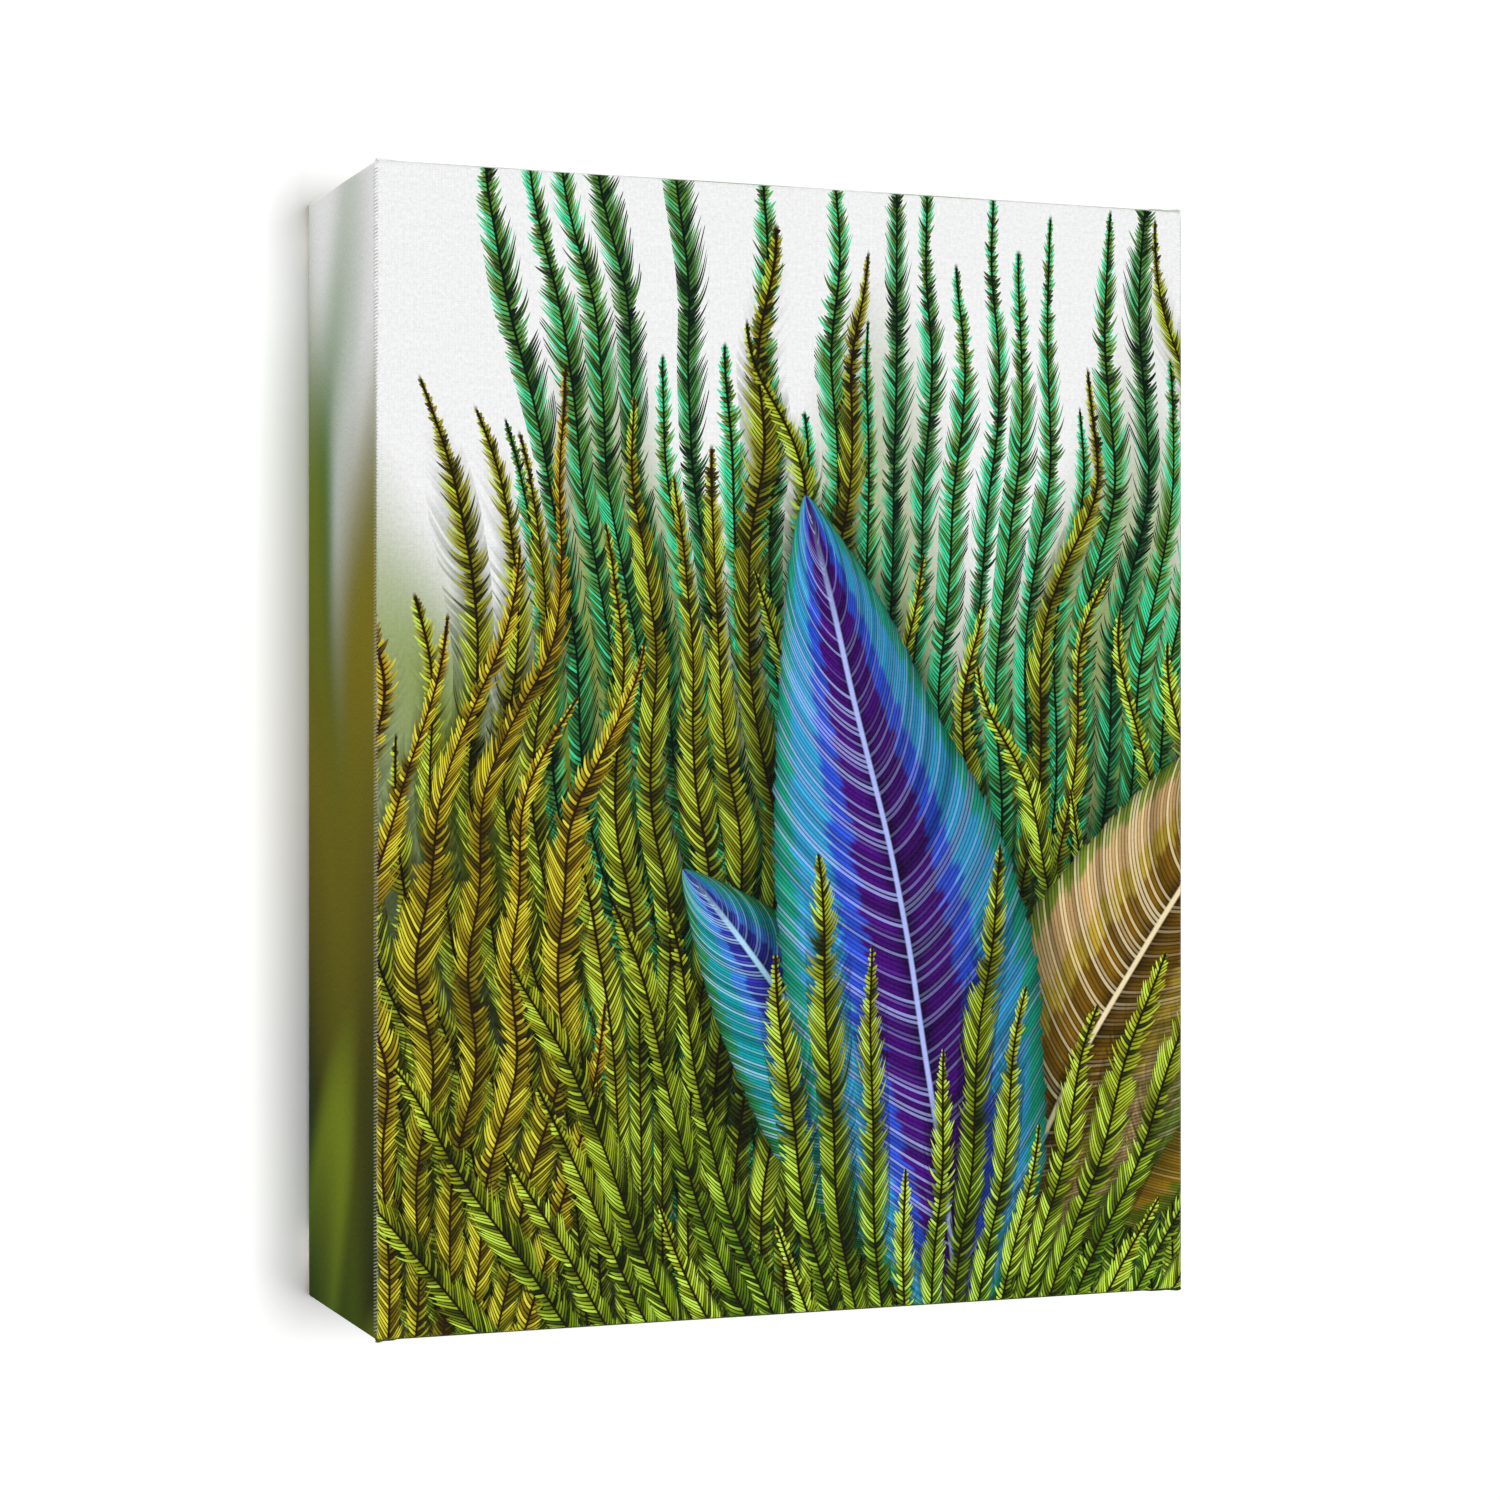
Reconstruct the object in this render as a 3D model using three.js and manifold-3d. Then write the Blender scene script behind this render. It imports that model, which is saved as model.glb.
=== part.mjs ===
// A stretched canvas print: one printed sheet wrapped round four deep mitred stretcher bars,
// stapled behind, with a sawtooth hanger and two bumpers. Millimetres, +Z up, +Y towards the wall.
// The origin is the middle notch of the hanger, where the wall nail bears.
import * as THREE from 'three';
import { mergeVertices } from 'three/addons/utils/BufferGeometryUtils.js';
import Module from 'manifold-3d';

// ---- Driving dimensions ----
const WIDTH = 156; // finished face, left to right
const HEIGHT = 203; // finished face, top to bottom
const DEPTH = 50; // printed face to the back of the turned cloth
const CLOTH = 0.5; // canvas with its primer and ink
const GAP = 0.3; // clearance between pieces that touch
const TURNOVER = 13; // cloth turned on to the back of the bars
const FOLD_RADIUS = 1.2; // outside radius of the cloth over the front and back edges
const CORNER_RADIUS = 1.5; // outside radius of the cloth round the four corners

const BAR_WIDTH = 22; // across the back of a bar
const BAR_RIM = 3; // flat rim at the front of a bar, which carries the face
const BAR_FALL = 4; // how far the front falls away behind the face, at the inner edge
const BAR_EASE = 0.6; // eased long edges

const STAPLE = { width: 10.6, wire: 1.0, thick: 0.6, leg: 7, chisel: 0.8, ease: 0.15 };
const STAPLE_INSET = 6.5; // crown's middle from the outer side of the print
const STAPLE_TILT = THREE.MathUtils.degToRad(5); // hand-driven staples sit slightly askew
const STAPLE_WANDER = 2.4; // turns each staple's tilt away from its neighbour's
const STAPLES = { top: 3, bottom: 3, left: 4, right: 4 };

const V_NAIL = { leg: 4, thick: 0.5, length: 10, lip: 0.7, inset: 14.6 };

const HANGER = {
  width: 38, height: 8, thick: 0.8, corner: 1.2, foot: 7, ramp: 1.5, rise: 1.6,
  inset: 17.8, notches: 9, pitch: 2, notchDepth: 1.6, nailSpread: 15.5,
};
const NAIL = { shank: 0.7, head: 1.9, headHeight: 0.75, length: 8 };
const NAIL_TIP = 3; // length of a nail's point, in shank radii
const BUMPER = { radius: 4, flat: 2.4, height: 2.2, x: 62.5, rise: 7 };

// Sides of a round shape, and steps of a rounded corner or fold.
const FACETS = { corner: 4, nail: 16, bumper: 24 };
const WELD = 1e-5; // points closer than this are one

// ---- Places worked out from them ----
const LINING = CLOTH + GAP; // print's outer side to the wood
const WOOD_BACK = DEPTH - LINING;
const BAR_DEPTH = WOOD_BACK - LINING;
const CROWN_TOP = DEPTH + GAP + STAPLE.thick;
const HANGER_MIDDLE = HEIGHT / 2 - HANGER.inset;
const HANGER_FOOT_TOP = WOOD_BACK + GAP + HANGER.thick;
const NOTCH_TOP = HANGER_MIDDLE - HANGER.height / 2 + HANGER.notchDepth;
const NOTCH_DEPTH = WOOD_BACK + GAP + HANGER.rise + HANGER.thick / 2;

// Each side of the frame is drawn as the top one and turned about Y into its place.
const SIDES = {
  top: { turn: 0, reach: HEIGHT / 2, half: WIDTH / 2 },
  right: { turn: Math.PI / 2, reach: WIDTH / 2, half: HEIGHT / 2 },
  bottom: { turn: Math.PI, reach: HEIGHT / 2, half: WIDTH / 2 },
  left: { turn: -Math.PI / 2, reach: WIDTH / 2, half: HEIGHT / 2 },
};

const MATERIALS = {
  canvas: new THREE.MeshStandardMaterial({ color: 0x9aa070, roughness: 0.8, metalness: 0 }),
  pine: new THREE.MeshStandardMaterial({ color: 0xd9b98a, roughness: 0.7, metalness: 0 }),
  steel: new THREE.MeshStandardMaterial({ color: 0xb9bcc0, roughness: 0.35, metalness: 1 }),
  zinc: new THREE.MeshStandardMaterial({ color: 0xb8a06a, roughness: 0.35, metalness: 1 }),
  rubber: new THREE.MeshStandardMaterial({ color: 0xd6d6d2, roughness: 0.5, metalness: 0 }),
};

// ---- Joining and cutting solids ----
const wasm = await Module();
wasm.setup();

function solidOf(geometry) {
  const bare = geometry.clone();
  bare.deleteAttribute('normal');
  bare.deleteAttribute('uv');
  const merged = mergeVertices(bare, WELD);
  return new wasm.Manifold(new wasm.Mesh({
    numProp: 3,
    vertProperties: new Float32Array(merged.attributes.position.array),
    triVerts: new Uint32Array(merged.index.array),
  }));
}

function geometryOf(solid) {
  const { numProp, vertProperties, triVerts } = solid.getMesh();
  const geometry = new THREE.BufferGeometry();
  const points = new Float32Array((vertProperties.length / numProp) * 3);
  for (let i = 0; i < points.length / 3; i++) {
    for (let k = 0; k < 3; k++) points[3 * i + k] = vertProperties[numProp * i + k];
  }
  geometry.setAttribute('position', new THREE.BufferAttribute(points, 3));
  geometry.setIndex(new THREE.BufferAttribute(new Uint32Array(triVerts), 1));
  geometry.computeVertexNormals();
  return geometry;
}

function cut(geometry, cutters) {
  return geometryOf(cutters.reduce((solid, cutter) => solid.subtract(solidOf(cutter)), solidOf(geometry)));
}

// ---- Shapes ----
function outline(points) {
  return new THREE.Shape(points.map(([x, y]) => new THREE.Vector2(x, y)));
}

function roundedRectangle(width, height, radius) {
  const [x, y] = [width / 2, height / 2];
  const shape = new THREE.Shape();
  shape.moveTo(x - radius, -y);
  shape.absarc(x - radius, -y + radius, radius, -Math.PI / 2, 0);
  shape.absarc(x - radius, y - radius, radius, 0, Math.PI / 2);
  shape.absarc(-x + radius, y - radius, radius, Math.PI / 2, Math.PI);
  shape.absarc(-x + radius, -y + radius, radius, Math.PI, 1.5 * Math.PI);
  shape.closePath();
  return shape;
}

// A shape drawn in X and Z, extruded from one depth to another.
function throughDepth(shape, from, to, bevel = 0) {
  const geometry = new THREE.ExtrudeGeometry(shape, {
    depth: to - from - 2 * bevel, curveSegments: FACETS.corner, bevelEnabled: bevel > 0,
    bevelThickness: bevel, bevelSize: bevel, bevelOffset: -bevel, bevelSegments: FACETS.corner,
  });
  geometry.rotateX(Math.PI / 2);
  geometry.translate(0, to - bevel, 0);
  return geometry;
}

// A shape drawn in X and Y, extruded up and down from Z = 0 by half its width.
function throughHeight(shape, width) {
  const geometry = new THREE.ExtrudeGeometry(shape, { depth: width, bevelEnabled: false });
  geometry.translate(0, 0, -width / 2);
  return geometry;
}

// ---- Canvas ----
function wrappedBox(inset) {
  const shape = roundedRectangle(WIDTH - 2 * inset, HEIGHT - 2 * inset, CORNER_RADIUS - inset);
  return throughDepth(shape, inset, DEPTH - inset, FOLD_RADIUS - inset);
}

function canvas() {
  const window = roundedRectangle(WIDTH - 2 * TURNOVER, HEIGHT - 2 * TURNOVER, GAP);
  const legSlots = stapleSpots().flatMap(({ side, spot }) => (
    stapleSlots(spot).map((slot) => slot.rotateY(SIDES[side].turn))
  ));
  return cut(wrappedBox(0), [
    wrappedBox(CLOTH),
    throughDepth(window, DEPTH - FOLD_RADIUS, DEPTH + FOLD_RADIUS),
    ...legSlots,
  ]);
}

// ---- Stretcher bars ----
function barSection() {
  const back = BAR_DEPTH;
  return outline([
    [0, BAR_EASE], [BAR_EASE, 0], [BAR_RIM, 0], [BAR_WIDTH, BAR_FALL],
    [BAR_WIDTH, back - BAR_EASE], [BAR_WIDTH - BAR_EASE, back], [BAR_EASE, back], [0, back - BAR_EASE],
  ]);
}

// The section's X runs inwards from the outer side, and its Y from the rim to the back.
function mitredBar({ reach, half }) {
  const geometry = new THREE.ExtrudeGeometry(barSection(), { depth: 1, bevelEnabled: false });
  const points = geometry.attributes.position;
  const mitreGap = GAP / Math.SQRT2;
  for (let i = 0; i < points.count; i++) {
    const inwards = points.getX(i);
    const end = points.getZ(i) > 0.5 ? 1 : -1;
    const along = end * (half - LINING - mitreGap - inwards);
    points.setXYZ(i, along, LINING + points.getY(i), reach - LINING - inwards);
  }
  return geometry;
}

function bar(side) {
  const spots = stapleSpots().filter((each) => each.side === side);
  const cutters = spots.flatMap(({ spot }) => stapleSlots(spot));
  for (const corner of [-1, 1]) cutters.push(vNailSlot(SIDES[side], corner));
  if (side === 'top') cutters.push(...[-1, 1].map(nailHole));
  return cut(mitredBar(SIDES[side]), cutters);
}

// ---- Staples ----
function stapleSpots() {
  return Object.entries(STAPLES).flatMap(([side, count]) => {
    const { reach, half } = SIDES[side];
    const pitch = (2 * half) / count;
    return Array.from({ length: count }, (_, i) => ({
      side,
      name: `staple_${side}_${i + 1}`,
      spot: {
        x: (i - (count - 1) / 2) * pitch,
        z: reach - STAPLE_INSET,
        tilt: STAPLE_TILT * Math.sin(STAPLE_WANDER * i + reach),
      },
    }));
  });
}

function stapleAt(geometry, { x, z, tilt }) {
  return geometry.rotateY(tilt).translate(x, 0, z);
}

function staple(spot) {
  const { width, wire, thick, leg, chisel, ease } = STAPLE;
  const half = width / 2;
  const right = [
    [half - ease, 0], [half, -ease], [half, -leg], [half - thick, -leg + chisel], [half - thick, -thick],
  ];
  const left = right.map(([x, y]) => [-x, y]).reverse();
  const shape = outline([...right, ...left].reverse());
  return stapleAt(throughHeight(shape, wire).translate(0, CROWN_TOP, 0), spot);
}

function stapleSlots(spot) {
  const { width, wire, thick, leg } = STAPLE;
  const tall = leg + GAP;
  return [-1, 1].map((end) => {
    const slot = new THREE.BoxGeometry(thick + 2 * GAP, tall, wire + 2 * GAP);
    slot.translate(end * (width - thick) / 2, CROWN_TOP - tall / 2, 0);
    return stapleAt(slot, spot);
  });
}

// ---- V-nails ----
// Two legs along the two bars of a corner, each ending in a small inward lip.
function vNail(grow) {
  const { leg, thick, lip, length } = V_NAIL;
  const [outer, inner, end] = [grow, -thick - grow, -leg - grow];
  const arm = [[outer, outer], [end, outer], [end - grow, inner - lip], [end + thick + 2 * grow, inner - lip]];
  const elbow = [end + thick + 2 * grow, inner];
  const other = [...arm.slice(1), elbow].reverse().map(([x, y]) => [y, x]);
  const points = [...arm, elbow, [inner, inner], ...other];
  return throughDepth(outline(points), WOOD_BACK - length - grow, WOOD_BACK + grow);
}

function vNailAt(geometry, half, reach, corner) {
  if (corner < 0) geometry.rotateY(-Math.PI / 2);
  return geometry.translate(corner * (half - V_NAIL.inset), 0, reach - V_NAIL.inset);
}

function vNailSlot({ half, reach }, corner) {
  return vNailAt(vNail(GAP), half, reach, corner);
}

// ---- Hanger and its nails ----
function hangerOutline() {
  const { width, height, corner, notches, pitch, notchDepth, nailSpread } = HANGER;
  const [x, z] = [width / 2, height / 2];
  const first = -(notches * pitch) / 2;
  const shape = new THREE.Shape();
  shape.moveTo(-x + corner, -z);
  for (let i = 0; i < notches; i++) {
    const start = first + i * pitch;
    shape.lineTo(start, -z);
    shape.lineTo(start + pitch / 2, -z + notchDepth);
  }
  shape.lineTo(first + notches * pitch, -z);
  shape.absarc(x - corner, -z + corner, corner, -Math.PI / 2, 0);
  shape.absarc(x - corner, z - corner, corner, 0, Math.PI / 2);
  shape.absarc(-x + corner, z - corner, corner, Math.PI / 2, Math.PI);
  shape.absarc(-x + corner, -z + corner, corner, Math.PI, 1.5 * Math.PI);
  shape.holes = [-1, 1].map((end) => (
    new THREE.Path().absarc(end * nailSpread, 0, NAIL.shank + GAP, 0, 2 * Math.PI, true)
  ));
  return shape;
}

// The feet lie on the wood and the toothed middle stands off it, so that the wall nail's head goes behind.
function hangerProfile() {
  const { width, thick, foot, ramp, rise } = HANGER;
  const x = width / 2;
  const under = [[x, 0], [x - foot, 0], [x - foot - ramp, rise]];
  const line = [...under.map(([a, b]) => [-a, b]), ...under.reverse()];
  const top = line.map(([a, b]) => [a, b + thick]).reverse();
  return outline([...line, ...top]);
}

function hanger() {
  const strip = solidOf(throughHeight(hangerProfile(), HANGER.height).translate(0, WOOD_BACK + GAP, 0));
  const plate = solidOf(throughDepth(hangerOutline(), WOOD_BACK, WOOD_BACK + DEPTH));
  return geometryOf(strip.intersect(plate)).translate(0, 0, HANGER_MIDDLE);
}

function nailHole(end) {
  const hole = new THREE.CylinderGeometry(NAIL.shank + GAP, NAIL.shank + GAP, 2 * NAIL.length, FACETS.nail);
  return hole.translate(end * HANGER.nailSpread, HANGER_FOOT_TOP, HANGER_MIDDLE);
}

function hangerNail(end) {
  const { shank, head, headHeight, length } = NAIL;
  const profile = [
    [0, -length], [shank, -length + NAIL_TIP * shank], [shank, 0], [head, 0],
    [head, headHeight / 3], [0.7 * head, 0.85 * headHeight], [0, headHeight],
  ].map(([r, y]) => new THREE.Vector2(r, y));
  const geometry = new THREE.LatheGeometry(profile, FACETS.nail);
  return geometry.translate(end * HANGER.nailSpread, HANGER_FOOT_TOP + GAP, HANGER_MIDDLE);
}

// ---- Bumpers ----
function bumper(end) {
  const { radius, flat, height, x, rise } = BUMPER;
  const profile = [
    [0, 0], [radius, 0], [radius, 0.3 * height], [0.9 * radius, 0.7 * height], [flat, height], [0, height],
  ].map(([r, y]) => new THREE.Vector2(r, y));
  const geometry = new THREE.LatheGeometry(profile, FACETS.bumper);
  return geometry.translate(end * x, DEPTH + GAP, rise - HEIGHT / 2);
}

// ---- The print ----
const print = new THREE.Group();
print.position.set(0, -NOTCH_DEPTH, -NOTCH_TOP);

function add(name, geometry, material, turn = 0) {
  const mesh = new THREE.Mesh(geometry, material);
  mesh.name = name;
  mesh.rotation.y = turn;
  print.add(mesh);
}

add('canvas', canvas(), MATERIALS.canvas);
for (const [side, { turn }] of Object.entries(SIDES)) {
  add(`bar_${side}`, bar(side), MATERIALS.pine, turn);
}
for (const { side, name, spot } of stapleSpots()) {
  add(name, staple(spot), MATERIALS.steel, SIDES[side].turn);
}
for (const side of ['top', 'bottom']) {
  const { half, reach, turn } = SIDES[side];
  for (const corner of [-1, 1]) {
    const hand = corner * Math.cos(turn) > 0 ? 'right' : 'left';
    add(`v_nail_${side}_${hand}`, vNailAt(vNail(0), half, reach, corner), MATERIALS.steel, turn);
  }
}
add('hanger', hanger(), MATERIALS.zinc);
for (const [hand, end] of [['left', -1], ['right', 1]]) {
  add(`hanger_nail_${hand}`, hangerNail(end), MATERIALS.steel);
  add(`bumper_${hand}`, bumper(end), MATERIALS.rubber);
}

export default print;
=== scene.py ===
"""Visual model of a stretched canvas print: printed cloth over a mitred pine frame, with its hanging kit.

Lengths are metres. +X runs to the right along the printed face, +Y from the face to the wall, +Z up. The
printed picture is worked out in picture units: the face is one unit high and its middle is the origin.
"""

from __future__ import annotations

import logging
import math
from dataclasses import dataclass
from enum import Enum, IntEnum
from typing import Any, Callable, Iterable, Optional, Sequence, Union

import bpy
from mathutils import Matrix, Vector, noise


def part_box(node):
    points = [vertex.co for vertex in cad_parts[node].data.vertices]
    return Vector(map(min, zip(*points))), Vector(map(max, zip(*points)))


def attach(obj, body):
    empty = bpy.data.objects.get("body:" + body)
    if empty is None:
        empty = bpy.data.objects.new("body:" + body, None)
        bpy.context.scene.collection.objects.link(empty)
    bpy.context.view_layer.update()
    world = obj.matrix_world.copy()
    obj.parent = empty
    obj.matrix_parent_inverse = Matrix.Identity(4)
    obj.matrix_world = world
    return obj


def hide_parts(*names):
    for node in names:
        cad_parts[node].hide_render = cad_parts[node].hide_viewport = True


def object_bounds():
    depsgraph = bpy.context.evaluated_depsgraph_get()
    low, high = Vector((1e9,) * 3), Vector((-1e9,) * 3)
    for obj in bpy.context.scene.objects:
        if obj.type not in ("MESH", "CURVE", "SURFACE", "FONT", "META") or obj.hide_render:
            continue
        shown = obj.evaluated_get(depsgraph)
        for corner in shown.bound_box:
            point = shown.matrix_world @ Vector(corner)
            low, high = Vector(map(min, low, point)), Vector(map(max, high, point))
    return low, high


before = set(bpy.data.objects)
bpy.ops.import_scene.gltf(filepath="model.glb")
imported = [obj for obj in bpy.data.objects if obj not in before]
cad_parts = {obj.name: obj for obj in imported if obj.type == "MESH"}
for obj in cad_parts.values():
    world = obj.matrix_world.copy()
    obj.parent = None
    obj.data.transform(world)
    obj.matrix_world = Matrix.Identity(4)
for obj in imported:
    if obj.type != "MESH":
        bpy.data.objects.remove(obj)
CAD_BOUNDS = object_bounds()

LOG = logging.getLogger("stretched_canvas_print")
MM = 0.001
BODY = "root"
FLAT_MAP = "flat"
# The distance between two threads that lie the same way up, across the print and up it.
REPEAT = (0.52 * MM, 0.612 * MM)

Colour = tuple[float, float, float]
Point = tuple[float, float, float]


def smooth(value: float, low: float, high: float) -> float:
    """Rises smoothly from 0 at low to 1 at high.

    Args:
        value: The number to place between the two ends.
        low: Where the rise starts.
        high: Where the rise ends.

    Returns:
        A number from 0 to 1.
    """
    share = min(max((value - low) / (high - low), 0.0), 1.0)
    return share * share * (3.0 - 2.0 * share)


# --------------------------------------------------------------------------------------------------
# Node trees
# --------------------------------------------------------------------------------------------------


class Kind(Enum):
    """The kinds of socket that an effect group can have."""

    NUMBER = "NodeSocketFloat"
    VECTOR = "NodeSocketVector"
    COLOUR = "NodeSocketColor"


class Wire:
    """A number, vector or colour in a node tree, which reads as arithmetic."""

    def __init__(self, board: "Board", socket: bpy.types.NodeSocket) -> None:
        """Keeps the socket and the tree that it is in."""
        self.board = board
        self.socket = socket

    def __add__(self, other: "Term") -> "Wire":
        """This plus other."""
        return self.board.math("ADD", self, other)

    def __sub__(self, other: "Term") -> "Wire":
        """This minus other."""
        return self.board.math("SUBTRACT", self, other)

    def __mul__(self, other: "Term") -> "Wire":
        """This times other."""
        return self.board.math("MULTIPLY", self, other)

    def __truediv__(self, other: "Term") -> "Wire":
        """This divided by other."""
        return self.board.math("DIVIDE", self, other)

    def __pow__(self, other: "Term") -> "Wire":
        """This raised to other."""
        return self.board.math("POWER", self, other)

    def __abs__(self) -> "Wire":
        """This without its sign."""
        return self.board.math("ABSOLUTE", self)

    __radd__ = __add__
    __rmul__ = __mul__


Term = Union[float, Wire]
Feed = Union[float, Colour, Vector, Wire]


class Board:
    """A node tree, with short ways to place nodes in it."""

    def __init__(self, tree: bpy.types.NodeTree) -> None:
        """Keeps the tree."""
        self.tree = tree

    def feed(self, socket: bpy.types.NodeSocket, value: Feed) -> None:
        """Links a wire to a socket, or sets the socket's own value.

        Args:
            socket: The input socket.
            value: A wire, a number, or three numbers for a vector or colour.
        """
        if isinstance(value, Wire):
            self.tree.links.new(value.socket, socket)
        elif socket.type == "RGBA":
            socket.default_value = (*value, 1.0)
        else:
            socket.default_value = value

    def node(self, kind: str, feeds: dict[Union[str, int], Feed], **settings: Any) -> bpy.types.Node:
        """Places one node.

        Args:
            kind: The node's type without its ShaderNode prefix.
            feeds: What goes into each input, by name or number.
            **settings: The node's own properties.

        Returns:
            The new node.
        """
        made = self.tree.nodes.new(f"ShaderNode{kind}")
        for name, setting in settings.items():
            setattr(made, name, setting)
        for key, value in feeds.items():
            self.feed(made.inputs[key], value)
        return made

    def out(self, made: bpy.types.Node, output: Union[str, int] = 0) -> Wire:
        """The wire that leaves a node's output."""
        return Wire(self, made.outputs[output])

    def math(self, operation: str, *terms: Term, clamp: bool = False) -> Wire:
        """One Math node on numbers."""
        return self.out(self.node("Math", dict(enumerate(terms)), operation=operation, use_clamp=clamp))

    def mad(self, value: Term, factor: Term, extra: Term, clamp: bool = False) -> Wire:
        """Value times factor plus extra, in one node."""
        return self.math("MULTIPLY_ADD", value, factor, extra, clamp=clamp)

    def vector(self, operation: str, *terms: Feed, output: int = 0) -> Wire:
        """One Vector Math node."""
        feeds = {0: terms[0], "Scale": terms[1]} if operation == "SCALE" else dict(enumerate(terms))
        return self.out(self.node("VectorMath", feeds, operation=operation), output)

    def floor(self, value: Wire) -> Wire:
        """The whole number below value."""
        return self.math("FLOOR", value)

    def step(self, value: Term, low: Term, high: Term) -> Wire:
        """Rises smoothly from 0 where value is low to 1 where it is high."""
        feeds = {"Value": value, "From Min": low, "From Max": high}
        return self.out(self.node("MapRange", feeds, interpolation_type="SMOOTHSTEP"))

    def blend(self, share: Term, first: Feed, second: Feed) -> Wire:
        """Mixes two colours."""
        return self.out(self.node("Mix", {0: share, 6: first, 7: second}, data_type="RGBA"), 2)

    def lerp(self, share: Term, first: Term, second: Term) -> Wire:
        """Mixes two numbers."""
        return self.out(self.node("Mix", {0: share, 2: first, 3: second}, data_type="FLOAT"))

    def parts(self, vector: Wire) -> tuple[Wire, Wire, Wire]:
        """The three numbers of a vector."""
        made = self.node("SeparateXYZ", {0: vector})
        return self.out(made, 0), self.out(made, 1), self.out(made, 2)

    def join(self, x: Term, y: Term, z: Term) -> Wire:
        """A vector from three numbers."""
        return self.out(self.node("CombineXYZ", {0: x, 1: y, 2: z}))

    def chance(self, number: Wire) -> tuple[Wire, Wire, Wire]:
        """Three random numbers from 0 to 1 that stay the same for the same number."""
        made = self.node("TexWhiteNoise", {"W": number}, noise_dimensions="1D")
        return self.parts(self.out(made, "Color"))

    def cloud(self, place: Wire, scale: float, detail: float = 2.0) -> Wire:
        """Soft noise from 0 to 1 round a half."""
        feeds = {"Vector": place, "Scale": scale, "Detail": detail}
        return self.out(self.node("TexNoise", feeds), "Fac")

    def turned(self, vector: Wire, angle: Term) -> Wire:
        """A vector turned about Z by an angle in radians."""
        feeds = {"Vector": vector, "Angle": angle}
        return self.out(self.node("VectorRotate", feeds, rotation_type="Z_AXIS"))


@dataclass(frozen=True)
class Port:
    """One named socket of an effect group."""

    name: str
    kind: Kind = Kind.NUMBER


def numbers(*names: str) -> list[Port]:
    """Number sockets with these names."""
    return [Port(name) for name in names]


def colours(*names: str) -> list[Port]:
    """Colour sockets with these names."""
    return [Port(name, Kind.COLOUR) for name in names]


class Effect:
    """A shader node group with named inputs and outputs, built once and placed in several materials."""

    def __init__(
        self,
        name: str,
        inputs: Sequence[Port],
        outputs: Sequence[Port],
        draw: Callable[[Board, dict[str, Wire]], dict[str, Wire]],
    ) -> None:
        """Makes the group.

        Args:
            name: The group's name.
            inputs: Its input sockets.
            outputs: Its output sockets.
            draw: Places the nodes, from the wires of the inputs to the wires of the outputs.
        """
        self.tree = bpy.data.node_groups.new(name, "ShaderNodeTree")
        for ports, way in ((inputs, "INPUT"), (outputs, "OUTPUT")):
            for port in ports:
                self.tree.interface.new_socket(port.name, in_out=way, socket_type=port.kind.value)
        board = Board(self.tree)
        entry = self.tree.nodes.new("NodeGroupInput")
        results = draw(board, {port.name: Wire(board, entry.outputs[port.name]) for port in inputs})
        leave = self.tree.nodes.new("NodeGroupOutput")
        for name, wire in results.items():
            board.feed(leave.inputs[name], wire)

    def place(self, board: Board, **feeds: Feed) -> bpy.types.Node:
        """Puts the group in a tree.

        Args:
            board: The tree to put it in.
            **feeds: What goes into each input, by its name in small letters with _ for a space.

        Returns:
            The group node.
        """
        made = board.tree.nodes.new("ShaderNodeGroup")
        made.node_tree = self.tree
        for name, value in feeds.items():
            board.feed(made.inputs[name.replace("_", " ").capitalize()], value)
        return made


def new_material(name: str) -> tuple[bpy.types.Material, Board, bpy.types.Node]:
    """Makes a material with an empty Principled shader.

    Args:
        name: The material's name.

    Returns:
        The material, its board and its Principled node.
    """
    material = bpy.data.materials.new(name)
    material.use_nodes = True
    board = Board(material.node_tree)
    return material, board, material.node_tree.nodes["Principled BSDF"]


def feed_shader(
    board: Board,
    shader: bpy.types.Node,
    feeds: dict[str, Feed],
    height: Wire,
    relief: float,
    strength: float = 1.0,
) -> None:
    """Connects a finish to its shader.

    Args:
        board: The material's tree.
        shader: Its Principled node.
        feeds: What goes into each of the shader's inputs, by name.
        height: The height of the surface's relief, from 0 to 1.
        relief: How high the relief is at 1.
        strength: How much of the relief shows.
    """
    for name, value in feeds.items():
        board.feed(shader.inputs[name], value)
    bump = board.node("Bump", {"Height": height, "Distance": relief, "Strength": strength})
    board.feed(shader.inputs["Normal"], board.out(bump))


# --------------------------------------------------------------------------------------------------
# Effects that the finishes share
# --------------------------------------------------------------------------------------------------


def draw_weave(board: Board, given: dict[str, Wire]) -> dict[str, Wire]:
    """Plain weave: round threads that pass over and under each other, a little uneven in thickness.

    Args:
        board: The group's tree.
        given: The wires of its inputs, by name.

    Returns:
        The wires of its outputs, by name.
    """
    long, short, wander = 90.0, 900.0, 0.8
    x, y, _ = board.parts(given["Place"])
    slub = board.cloud(board.vector("MULTIPLY", given["Place"], (long, short, 1.0)), 1.0, 0.0)
    slub_across = board.cloud(board.vector("MULTIPLY", given["Place"], (short, long, 1.0)), 1.0, 0.0)
    warp = board.mad(x, math.tau / REPEAT[0], slub * wander)
    weft = board.mad(y, math.tau / REPEAT[1], slub_across * wander)
    warp_sine, weft_sine = board.math("SINE", warp), board.math("SINE", weft)
    over = warp_sine * weft_sine * 0.6
    warp_rise = board.mad(abs(warp_sine), 0.4, over)
    weft_rise = board.mad(abs(weft_sine), 0.4, over * -1.0)
    height = board.math("MAXIMUM", warp_rise, weft_rise * 0.7)
    nub = board.cloud(given["Place"], 1500.0, 1.0)
    return {"Height": board.mad(height, board.mad(slub, 0.35, 0.5), board.mad(nub, 0.9, -0.25))}


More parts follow.
